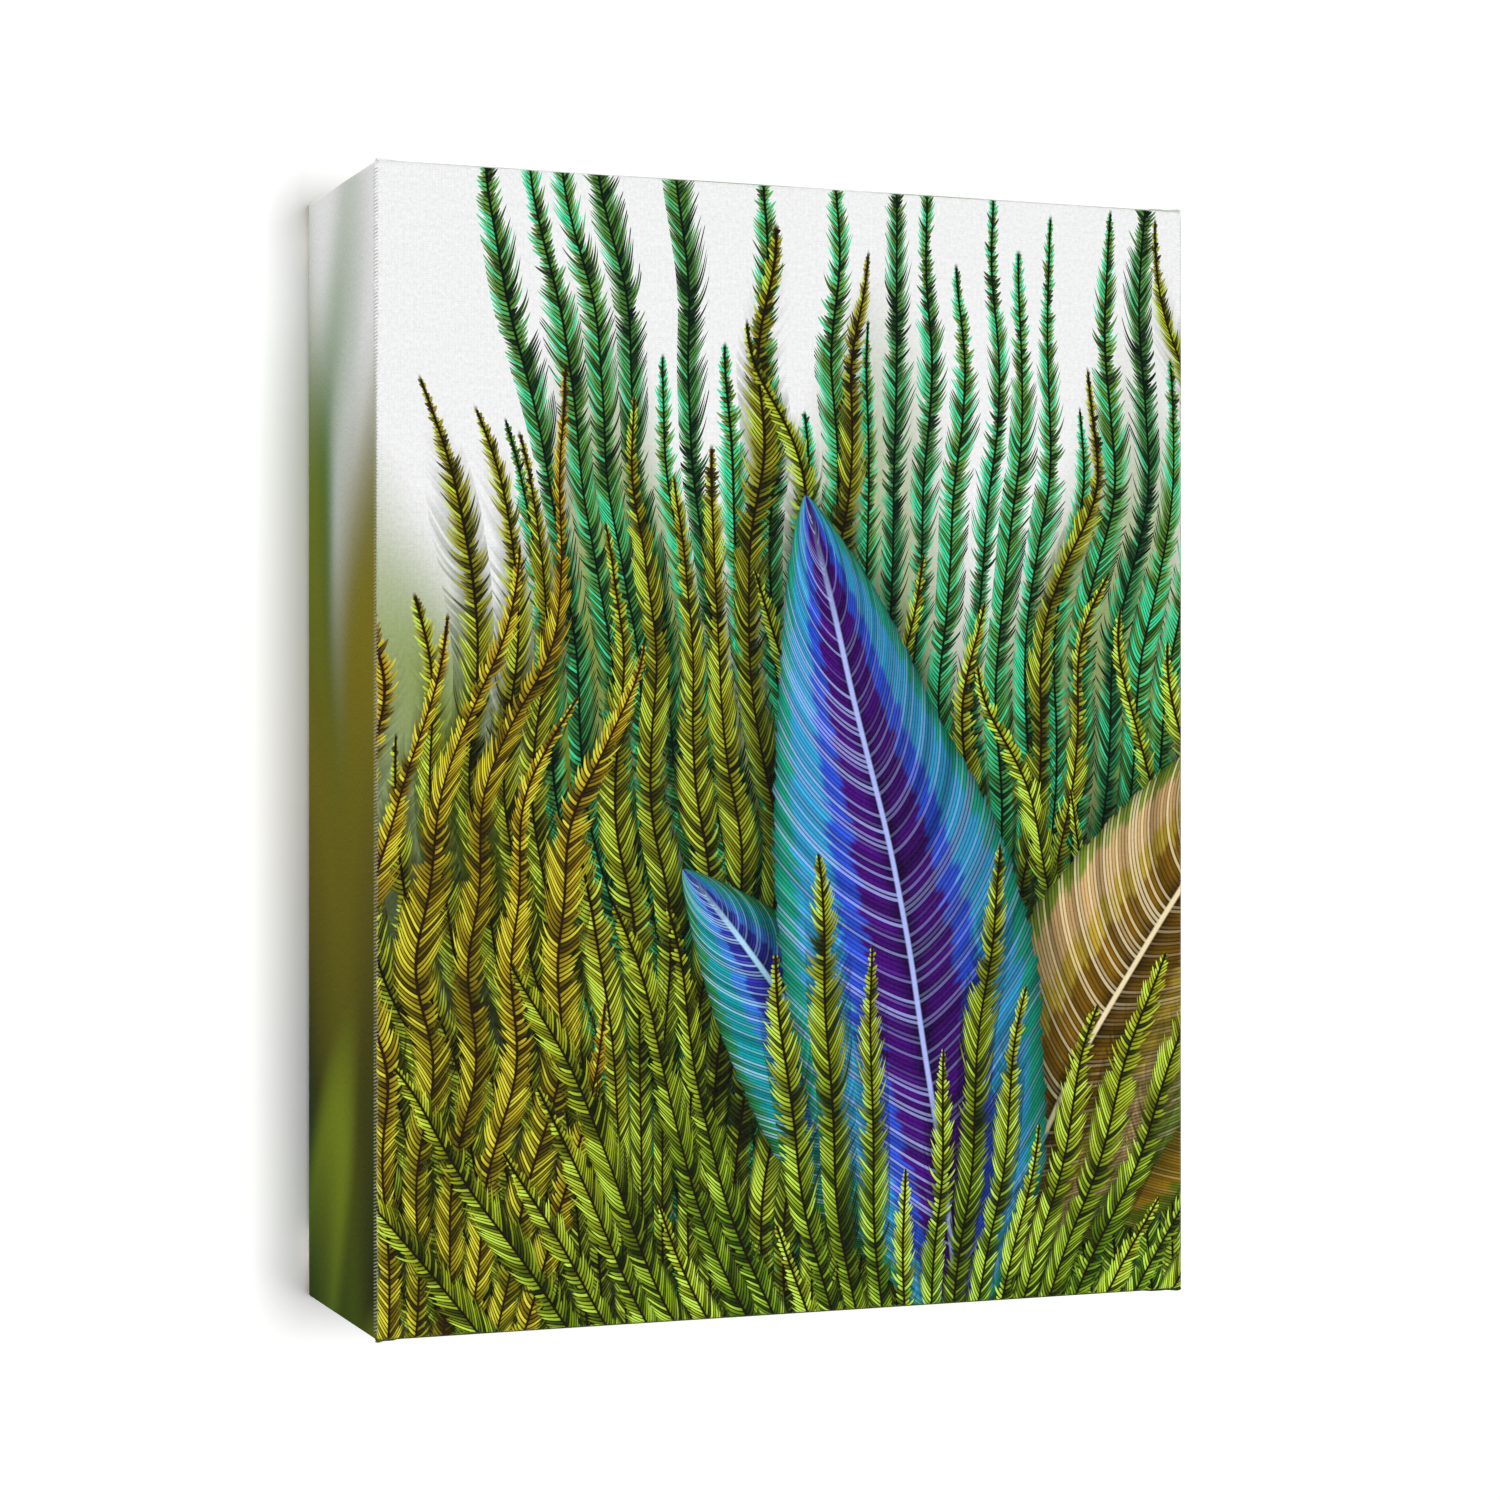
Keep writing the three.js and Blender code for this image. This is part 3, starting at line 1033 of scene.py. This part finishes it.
@dataclass(frozen=True)
class SoftRubber:
    """Cloudy grey rubber with a faint skin texture and dust in its dimples."""

    tone: Colour = (0.60, 0.61, 0.60)
    dust: Colour = (0.74, 0.73, 0.70)
    hollow: Colour = (0.42, 0.43, 0.42)
    relief: float = 0.05 * MM

    def build(self) -> bpy.types.Material:
        """Makes the material.

        Returns:
            The material.
        """
        material, board, shader = new_material("bumper_rubber")
        place = board.out(board.node("TexCoord", {}), "Object")
        skin = board.cloud(place, 2400.0, 3.0)
        cloudy = board.cloud(place, 300.0, 2.0)
        tone = board.blend(board.step(cloudy, 0.35, 0.75), self.tone, self.dust)
        tone = board.blend(skin * 0.25, tone, self.hollow)
        feeds = {"Base Color": tone, "Roughness": board.lerp(cloudy, 0.34, 0.62)}
        feed_shader(board, shader, feeds, skin, self.relief, 0.6)
        return material


# --------------------------------------------------------------------------------------------------
# The cloth
# --------------------------------------------------------------------------------------------------


def outward(values: Iterable[float]) -> list[float]:
    """The values and their negatives in order, each once."""
    ends = sorted({round(value, 7) for value in values})
    return sorted({*(-value for value in ends), *ends})


class Coat(IntEnum):
    """The material slots of the cloth's outer side. INNER further on are those of its inner side."""

    FACE = 0
    SIDE = 1
    CORNER = 4


INNER = 2


@dataclass
class WrappedCanvas:
    """One sheet of canvas: the face, the sides, their pleated corners and the cloth turned on to the back.

    Points of the sheet are named by their flat coordinates, across and up from the middle of the face. At
    each corner the spare square of cloth is folded once along its diagonal and tucked under the top or
    bottom side. The last four fields are where the sheet has lines of points, in millimetres: the first two
    past a front fold, and the others past the back edge.
    """

    low: Vector
    high: Vector
    turnover: float
    cloth: float = 0.45 * MM
    radius: float = 0.9 * MM
    inset: float = 1.6 * MM
    hem: float = 8.0 * MM
    trim: float = 1.2 * MM
    stand: float = 0.24 * MM
    lift: float = 0.45 * MM
    staple_hold: tuple[float, float] = (6.0 * MM, 22.0 * MM)
    soaked: float = 4.0 * MM
    mesh_step: float = 3.6 * MM
    near_fold: tuple[float, ...] = (0.175, 0.35, 0.525, 0.71, 0.9, 1.2, 1.6, 2.2, 3.0, 4.5)
    on_side: tuple[float, ...] = (6.2, 8.0, 11.0, 14.0, 17.5, 21.0, 25.0, 29.0, 33.0, 37.0, 41.0)
    near_back: tuple[float, ...] = (-4.5, -3.0, -2.2, -1.6, -0.9, -0.4, 0.0, 0.4, 0.8, 1.2, 1.6, 2.2, 3.0)
    on_back: tuple[float, ...] = (5.0, 7.0, 9.0, 11.0)

    def __post_init__(self) -> None:
        """Works out the half sizes and the middle of the face."""
        self.half_width = (self.high.x - self.low.x) / 2
        self.half_height = (self.high.z - self.low.z) / 2
        self.depth = self.high.y - self.low.y
        self.middle = Vector(((self.low.x + self.high.x) / 2, self.low.y, (self.low.z + self.high.z) / 2))
        self.bend = self.cloth * math.pi / 2
        self.staples = [
            (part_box(name)[0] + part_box(name)[1]) / 2 - self.middle
            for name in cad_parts
            if name.startswith("staple")
        ]

    @property
    def flat_size(self) -> tuple[float, float]:
        """The width and length that the sheet was cut to."""
        spare = 2 * (self.depth + self.turnover)
        return 2 * self.half_width + spare, 2 * self.half_height + spare

    @property
    def flat_area(self) -> float:
        """The area of the cut sheet, without the notches trimmed from its four corners.

        Returns:
            The area in square metres.
        """
        width, length = self.flat_size
        side = self.depth + self.turnover
        kept = (self.depth - self.trim) ** 2 + self.hem * (side - self.depth + self.trim)
        return width * length - 4 * (side * side - kept)

    def past_fold(self) -> list[float]:
        """Distances past a front fold at which the sheet has a line of points.

        Returns:
            The distances in metres.
        """
        side = [step * MM for step in (*self.near_fold, *self.on_side)]
        back = [self.depth + step * MM for step in (*self.near_back, *self.on_back)]
        return [*side, *back, self.depth - self.trim, self.depth + self.turnover]

    def lines(self, half: float) -> list[float]:
        """Flat coordinates of the sheet's lines of points in one direction.

        Args:
            half: The distance from the middle of the face to its fold.

        Returns:
            The coordinates in order.
        """
        near = [half - step * MM for step in self.near_fold]
        inner = near[-1]
        count = round(inner / self.mesh_step)
        face = [inner * i / count for i in range(count)]
        return outward([*face, *near, half, *(half + past for past in self.past_fold())])

    def kept(self, past_side: float, past_top: float) -> bool:
        """Whether the cloth is there, at a place past both folds or past one.

        Args:
            past_side: The distance past the side fold, or less than 0 on the face.
            past_top: The distance past the top or bottom fold.

        Returns:
            False in the notches trimmed from the corners.
        """
        if past_side <= 0 or past_top <= 0:
            return True
        reach = self.depth - self.trim
        return max(past_side, past_top) < reach or (past_top > past_side and past_side < self.hem)

    def coat(self, past_side: float, past_top: float) -> Coat:
        """Which finish a part of the sheet has.

        Args:
            past_side: The distance past the side fold, or less than 0 on the face.
            past_top: The distance past the top or bottom fold.

        Returns:
            The face's sharp print, the side's soft one, or that of a corner's tight folds, where the primer
            has soaked through to the inner side.
        """
        if past_side < 0 and past_top < 0:
            return Coat.FACE
        tight = math.hypot(past_side, past_top) < self.soaked
        turning = min(past_side, past_top) > 0 and max(past_side, past_top) > self.depth - self.soaked
        return Coat.CORNER if tight or turning else Coat.SIDE

    def wrinkle(self, across: float, up: float) -> float:
        """The small unevenness of the stretched face."""
        spot = Vector((across * 16.0, up * 12.0, 0.4))
        return noise.noise(spot) * 0.10 * MM

    def back_lift(self, across: float, up: float, turned: float) -> float:
        """How far the turned cloth rises off the wood between staples.

        Args:
            across: Where the point lies on the back, from the middle.
            up: Where the point lies on the back, from the middle.
            turned: How far the point is past the back edge.

        Returns:
            The rise.
        """
        near = min(math.hypot(across - spot.x, up - spot.z) for spot in self.staples)
        ripple = 0.55 + 0.45 * noise.noise(Vector((across * 70, up * 70, 2.0)))
        free = smooth(near, *self.staple_hold) * smooth(turned, 0, self.turnover)
        return self.stand + self.lift * ripple * free

    def box_place(self, x: float, y: float, z: float, rise: float, turned: float) -> Vector:
        """Rounds a point of the sharp box over its edges and lifts it off the surface.

        Args:
            x: Half-width coordinate of the sharp box, 0 in the middle.
            y: Depth, 0 at the face.
            z: Half-height coordinate of the sharp box.
            rise: How far the cloth lies above the first layer.
            turned: How far the point is past the back edge, where it rises straight back.

        Returns:
            The point, from the middle of the face.
        """
        radius = self.radius
        core = Vector((
            min(max(x, radius - self.half_width), self.half_width - radius),
            min(max(y, radius), self.depth - radius),
            min(max(z, radius - self.half_height), self.half_height - radius),
        ))
        away = (Vector((x, y, z)) - core).normalized()
        return core + away * radius + away.lerp(Vector((0.0, 1.0, 0.0)), smooth(turned, 0, radius)) * rise

    def pleated(self, past_side: float, past_top: float) -> tuple[float, float]:
        """Where a point of the top side and its pleats lies across the print, and how high.

        Args:
            past_side: The distance past the side fold; less than 0 on the side's own panel.
            past_top: The distance past the top fold, which is also the depth.

        Returns:
            The distance from the middle and the rise above the first layer.
        """
        crest = self.half_width - self.inset - self.cloth
        gone = abs(past_side)
        if gone <= self.bend:
            turn = past_side / self.bend * math.pi / 2
            return crest + self.cloth * math.cos(turn), self.cloth * (1 - math.sin(turn))
        if past_side > 0:
            return crest - (gone - self.bend), 0.02 * MM
        shift = (self.inset + self.cloth - self.bend) * (1 - gone / self.half_width)
        pleat = 2 * smooth(past_top - gone, -1.6 * MM, 1.2 * MM)
        back = smooth(self.hem - gone, -MM, MM) + smooth(self.turnover - gone, -MM, MM)
        turned = smooth(past_top, self.depth - MM, self.depth + MM)
        layers = pleat * (1 - turned) + back * turned
        return self.half_width - gone - shift, self.cloth * layers

    def point(self, across: float, up: float) -> Vector:
        """Folds one point of the flat sheet round the frame.

        Args:
            across: Its flat coordinate to the right of the middle.
            up: Its flat coordinate above the middle.

        Returns:
            Its place in the row frame.
        """
        side, top = abs(across) - self.half_width, abs(up) - self.half_height
        x, y, z, rise = abs(across), 0.0, abs(up), 0.0
        if top <= 0 and side <= 0:
            rise = self.wrinkle(across, up) * smooth(-max(side, top), 0, 8 * MM)
        elif top <= 0 or (side >= top and side > 0):
            shift = (self.inset + self.cloth - self.bend) * (top / side if top > 0 else 0.0)
            x, y = self.half_width, side
            if top > 0:
                x -= top + shift * smooth(side, 0.5 * MM, 5 * MM)
                z = self.half_height
        else:
            made = smooth(top, 0.5 * MM, 5 * MM)
            placed, layers = self.pleated(side, top)
            plain = self.half_width - side if side > 0 else abs(across)
            x = plain + (placed - plain) * made
            y, z, rise = top, self.half_height, layers * made
        turned = max(y - self.depth, 0.0)
        if turned > 0:
            if z >= self.half_height and top > 0:
                z = self.half_height - turned
            else:
                x = self.half_width - turned
            y = self.depth
            rise += self.back_lift(math.copysign(x, across), math.copysign(z, up), turned)
        folded = self.box_place(x, y, z, rise, turned)
        return self.middle + Vector((math.copysign(folded.x, across), folded.y, math.copysign(folded.z, up)))

    def build(self) -> bpy.types.Object:
        """Makes the sheet with its thickness.

        Returns:
            The cloth's object, with its flat coordinates in a UV map.
        """
        columns, rows = self.lines(self.half_width), self.lines(self.half_height)
        points: list[Vector] = []
        flats: list[tuple[float, float]] = []
        index: dict[tuple[int, int], int] = {}

        def corner(i: int, j: int) -> int:
            """The number of the point where two lines cross, which is made on first use.

            Args:
                i: The number of the upright line.
                j: The number of the level line.

            Returns:
                The point's number.
            """
            if (i, j) not in index:
                index[i, j] = len(points)
                points.append(self.point(columns[i], rows[j]))
                flats.append((columns[i], rows[j]))
            return index[i, j]

        faces: list[list[int]] = []
        coats: list[int] = []
        for i in range(len(columns) - 1):
            for j in range(len(rows) - 1):
                across, up = (columns[i] + columns[i + 1]) / 2, (rows[j] + rows[j + 1]) / 2
                side, top = abs(across) - self.half_width, abs(up) - self.half_height
                if not self.kept(side, top):
                    continue
                cell = [corner(i, j), corner(i + 1, j), corner(i + 1, j + 1), corner(i, j + 1)]
                split = side > 0 and top > 0 and abs(side - top) < 1e-6
                if split and (across > 0) != (up > 0):
                    cell = cell[1:] + cell[:1]
                parts = [[cell[0], cell[1], cell[2]], [cell[0], cell[2], cell[3]]] if split else [cell]
                faces += parts
                coats += [self.coat(side, top)] * len(parts)
        mesh = bpy.data.meshes.new("canvas_cloth")
        mesh.from_pydata(points, [], faces)
        layer = mesh.uv_layers.new(name=FLAT_MAP)
        for loop in mesh.loops:
            layer.data[loop.index].uv = flats[loop.vertex_index]
        mesh.shade_smooth()
        mesh.polygons.foreach_set("material_index", coats)
        cloth = bpy.data.objects.new("canvas_cloth", mesh)
        bpy.context.collection.objects.link(cloth)
        solid = cloth.modifiers.new("thickness", "SOLIDIFY")
        solid.thickness, solid.offset = self.cloth, -1.0
        solid.material_offset = solid.material_offset_rim = INNER
        return cloth

    def dress(
        self,
        cloth: bpy.types.Object,
        sharp: bpy.types.Material,
        soft: bpy.types.Material,
        raw: bpy.types.Material,
    ) -> None:
        """Args:
            cloth: The sheet.
            sharp: The print on the face.
            soft: The print on the sides, and on both sides of the cloth in the corners' tight folds.
            raw: The inner side.
        """
        coats = {Coat.FACE: (sharp, raw), Coat.SIDE: (soft, raw), Coat.CORNER: (soft, soft)}
        slots = [soft] * (Coat.CORNER + INNER + 1)
        for coat, (outer, inner) in coats.items():
            slots[coat], slots[coat + INNER] = outer, inner
        for finish in slots:
            cloth.data.materials.append(finish)
        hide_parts("canvas")
        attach(cloth, BODY)
        self.flat_size
        self.flat_area
        LOG.info("canvas_cloth: %d points, cut %.0f by %.0f mm", len(cloth.data.vertices),
                 self.flat_size[0] / MM, self.flat_size[1] / MM)


# --------------------------------------------------------------------------------------------------
# The stretcher frame and the fixings
# --------------------------------------------------------------------------------------------------


SHARP_ANGLE = math.radians(35)


def dress_nodes(prefix: str, material: bpy.types.Material, edge: float) -> None:
    """Gives solids of the frame their finish and eases their sharp edges.

    Args:
        prefix: How the names of the solids start.
        material: Their finish.
        edge: The width of the eased edges.
    """
    for name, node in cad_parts.items():
        if not name.startswith(prefix):
            continue
        for slot in node.material_slots:
            slot.link = "OBJECT"
            slot.material = material
        bevel = node.modifiers.new("eased_edges", "BEVEL")
        bevel.width, bevel.segments = edge, 2
        bevel.limit_method, bevel.angle_limit = "ANGLE", SHARP_ANGLE
        bevel.harden_normals = False
        LOG.info("%s: %s", name, material.name)


@dataclass(frozen=True)
class StretcherFrame:
    """The four mitred bars, and the V-nails that hold their corners together."""

    bar_edge: float = 0.35 * MM
    nail_edge: float = 0.05 * MM
    wood: Pine = Pine()
    strip: PlatedSteel = PlatedSteel(
        "v_nail_strip", bright=(0.34, 0.34, 0.36), dull=(0.16, 0.15, 0.15), stretch=(900.0,) * 3, rough=0.5
    )

    def dress(self, effects: Effects) -> None:
        """Gives the bars and the V-nails their finishes.

        Args:
            effects: The shared effect groups.
        """
        for grain, sides in ((Grain.LEVEL, ("top", "bottom")), (Grain.UPRIGHT, ("left", "right"))):
            wood = self.wood.build(effects, grain)
            for side in sides:
                dress_nodes(f"bar_{side}", wood, self.bar_edge)
        dress_nodes("v_nail_", self.strip.build(effects), self.nail_edge)


@dataclass(frozen=True)
class Staples:
    """The staples that hold the turned cloth to the bars."""

    edge: float = 0.16 * MM
    wire: PlatedSteel = PlatedSteel(
        "staple_wire", bright=(0.66, 0.67, 0.69), dull=(0.40, 0.41, 0.43), stretch=(300.0, 4000.0, 4000.0)
    )

    def dress(self, effects: Effects) -> None:
        """Gives the staples their finish."""
        dress_nodes("staple_", self.wire.build(effects), self.edge)


@dataclass(frozen=True)
class HangingKit:
    """The sawtooth hanger with its nails, and the bumpers that keep the print level on the wall."""

    metal_edge: float = 0.12 * MM
    rubber_edge: float = 0.15 * MM
    zinc: PlatedSteel = PlatedSteel(
        "yellow_zinc", bright=(0.72, 0.58, 0.32), dull=(0.46, 0.36, 0.22), stretch=(250.0, 3000.0, 3000.0),
        rough=0.42,
    )
    rubber: SoftRubber = SoftRubber()

    def dress(self, effects: Effects) -> None:
        """Gives the hanger, its nails and the bumpers their finishes."""
        dress_nodes("hanger", self.zinc.build(effects), self.metal_edge)
        dress_nodes("bumper_", self.rubber.build(), self.rubber_edge)


# --------------------------------------------------------------------------------------------------
# Studio
# --------------------------------------------------------------------------------------------------


@dataclass(frozen=True)
class Lamp:
    """One soft rectangular lamp that points at the print. With no height it is level with the middle."""

    name: str
    right: float
    back: float
    height: Optional[float]
    size: tuple[float, float]
    power: float


@dataclass
class Studio:
    """The camera, the lights, the pale floor and the plain wall that the print hangs on."""

    low: Vector
    high: Vector
    eye_left: float = 220.7 * MM
    eye_away: float = 555.0 * MM
    yaw: float = 20.86
    lens: float = 79.64
    wall_gap: float = 0.4 * MM
    floor_drop: float = 1.0
    ambient: float = 0.08
    seen_white: float = 0.88
    lamps: tuple[Lamp, ...] = (
        Lamp("key_right", 0.16, -2.2, None, (0.46, 0.7), 35.9),
        Lamp("key_left", -0.50, -2.2, None, (0.80, 0.7), 17.5),
        Lamp("left_side", -1.9, 0.5, None, (0.9, 1.2), 29.5),
        Lamp("right_side", 1.9, 0.5, None, (0.9, 1.2), 24.0),
        Lamp("top_side", 0.0, 0.5, 1.7, (1.2, 0.9), 24.0),
        Lamp("bottom_side", 0.0, 0.4, -0.95, (1.0, 0.6), 2.6),
        Lamp("behind", 0.7, 1.9, 0.8, (1.2, 1.2), 19.0),
    )

    @property
    def middle(self) -> Vector:
        """The middle of the print."""
        return (self.low + self.high) / 2

    def camera(self) -> None:
        """Places the camera level with the middle of the print, left of it and turned towards it."""
        data = bpy.data.cameras.new("camera")
        data.lens, data.sensor_width = self.lens, 36.0
        eye = bpy.data.objects.new("camera", data)
        eye.location = (self.middle.x - self.eye_left, self.low.y - self.eye_away, self.middle.z)
        eye.rotation_euler = (math.pi / 2, 0.0, -math.radians(self.yaw))
        bpy.context.collection.objects.link(eye)
        bpy.context.scene.camera = eye

    def backdrop(self, wall_place: float) -> None:
        """Makes the floor, and the wall that is seen only from its front.

        Args:
            wall_place: How far back the wall stands.
        """
        for name, size, place, turn in (
            ("wall", 4.0, (0.0, wall_place, 0.0), (math.pi / 2, 0.0, 0.0)),
            ("floor", 9.0, (0.0, 0.0, -self.floor_drop), (0.0, 0.0, 0.0)),
        ):
            half = size / 2
            mesh = bpy.data.meshes.new(name)
            corners = [(-half, -half, 0.0), (half, -half, 0.0), (half, half, 0.0), (-half, half, 0.0)]
            mesh.from_pydata(corners, [], [[0, 1, 2, 3]])
            plane = bpy.data.objects.new(name, mesh)
            plane.location, plane.rotation_euler = place, turn
            bpy.context.collection.objects.link(plane)
            mesh.materials.append(self.plain_paint(name, see_through_behind=name == "wall"))
            plane.visible_diffuse = plane.visible_glossy = False
            plane.visible_transmission = plane.visible_shadow = False

    def plain_paint(self, name: str, see_through_behind: bool) -> bpy.types.Material:
        """Makes the matt white of the wall or the floor.

        Args:
            name: What it is for.
            see_through_behind: True for a surface that isn't seen from its back.

        Returns:
            The material.
        """
        material, board, shader = new_material(f"{name}_paint")
        shader.inputs["Base Color"].default_value = (0.97, 0.97, 0.97, 1.0)
        shader.inputs["Roughness"].default_value = 0.9
        shader.inputs["Specular IOR Level"].default_value = 0.0
        if not see_through_behind:
            shader.inputs["Emission Color"].default_value = (1.0, 1.0, 1.0, 1.0)
            shader.inputs["Emission Strength"].default_value = 0.5
        else:
            clear = board.node("BsdfTransparent", {})
            back = board.out(board.node("NewGeometry", {}), "Backfacing")
            mix = board.node("MixShader", {0: back})
            board.tree.links.new(shader.outputs[0], mix.inputs[1])
            board.tree.links.new(clear.outputs[0], mix.inputs[2])
            board.tree.links.new(mix.outputs[0], board.tree.nodes["Material Output"].inputs["Surface"])
        return material

    def hang(self, lamp: Lamp) -> None:
        """Places one lamp.

        Args:
            lamp: What it is and where it stands.
        """
        data = bpy.data.lights.new(lamp.name, "AREA")
        data.shape, data.size, data.size_y, data.energy = "RECTANGLE", *lamp.size, lamp.power
        made = bpy.data.objects.new(lamp.name, data)
        made.location = (lamp.right, lamp.back, self.middle.z if lamp.height is None else lamp.height)
        made.visible_camera = False
        made.rotation_euler = (self.middle - made.location).to_track_quat("-Z", "Y").to_euler()
        bpy.context.collection.objects.link(made)

    def light(self) -> None:
        """Lights the print softly from the front, its sides from beside it, and its back from behind."""
        for lamp in self.lamps:
            self.hang(lamp)
        world = bpy.data.worlds.new("studio")
        world.use_nodes = True
        board = Board(world.node_tree)
        air = world.node_tree.nodes["Background"]
        air.inputs["Color"].default_value = (1.0, 1.0, 1.0, 1.0)
        air.inputs["Strength"].default_value = self.ambient
        seen = board.node("Background", {"Color": (1.0, 1.0, 1.0), "Strength": self.seen_white})
        eye = board.out(board.node("LightPath", {}), "Is Camera Ray")
        mix = board.node("MixShader", {0: eye})
        world.node_tree.links.new(air.outputs[0], mix.inputs[1])
        world.node_tree.links.new(seen.outputs[0], mix.inputs[2])
        world.node_tree.links.new(mix.outputs[0], world.node_tree.nodes["World Output"].inputs["Surface"])
        bpy.context.scene.world = world
        bpy.context.scene.view_settings.view_transform = "Standard"


def main() -> None:
    """Builds the studio, the cloth, the frame and the fixings in order."""
    logging.basicConfig(level=logging.INFO, format="%(message)s")
    low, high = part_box("canvas")
    studio = Studio(low, high)
    studio.camera()
    effects = Effects()

    cloth = WrappedCanvas(low, high, turnover=13 * MM)
    printed = PrintedCanvas(2 * cloth.half_width, 2 * cloth.half_height, wrap=cloth.depth)
    sharp, soft = printed.build(effects, Focus.SHARP), printed.build(effects, Focus.SOFT)
    raw = RawCanvas().build(effects)
    cloth.dress(cloth.build(), sharp, soft, raw)

    for fitted in (StretcherFrame(), Staples(), HangingKit()):
        fitted.dress(effects)

    studio.backdrop(CAD_BOUNDS[1].y + studio.wall_gap)
    studio.light()


if __name__ == "__main__":
    main()
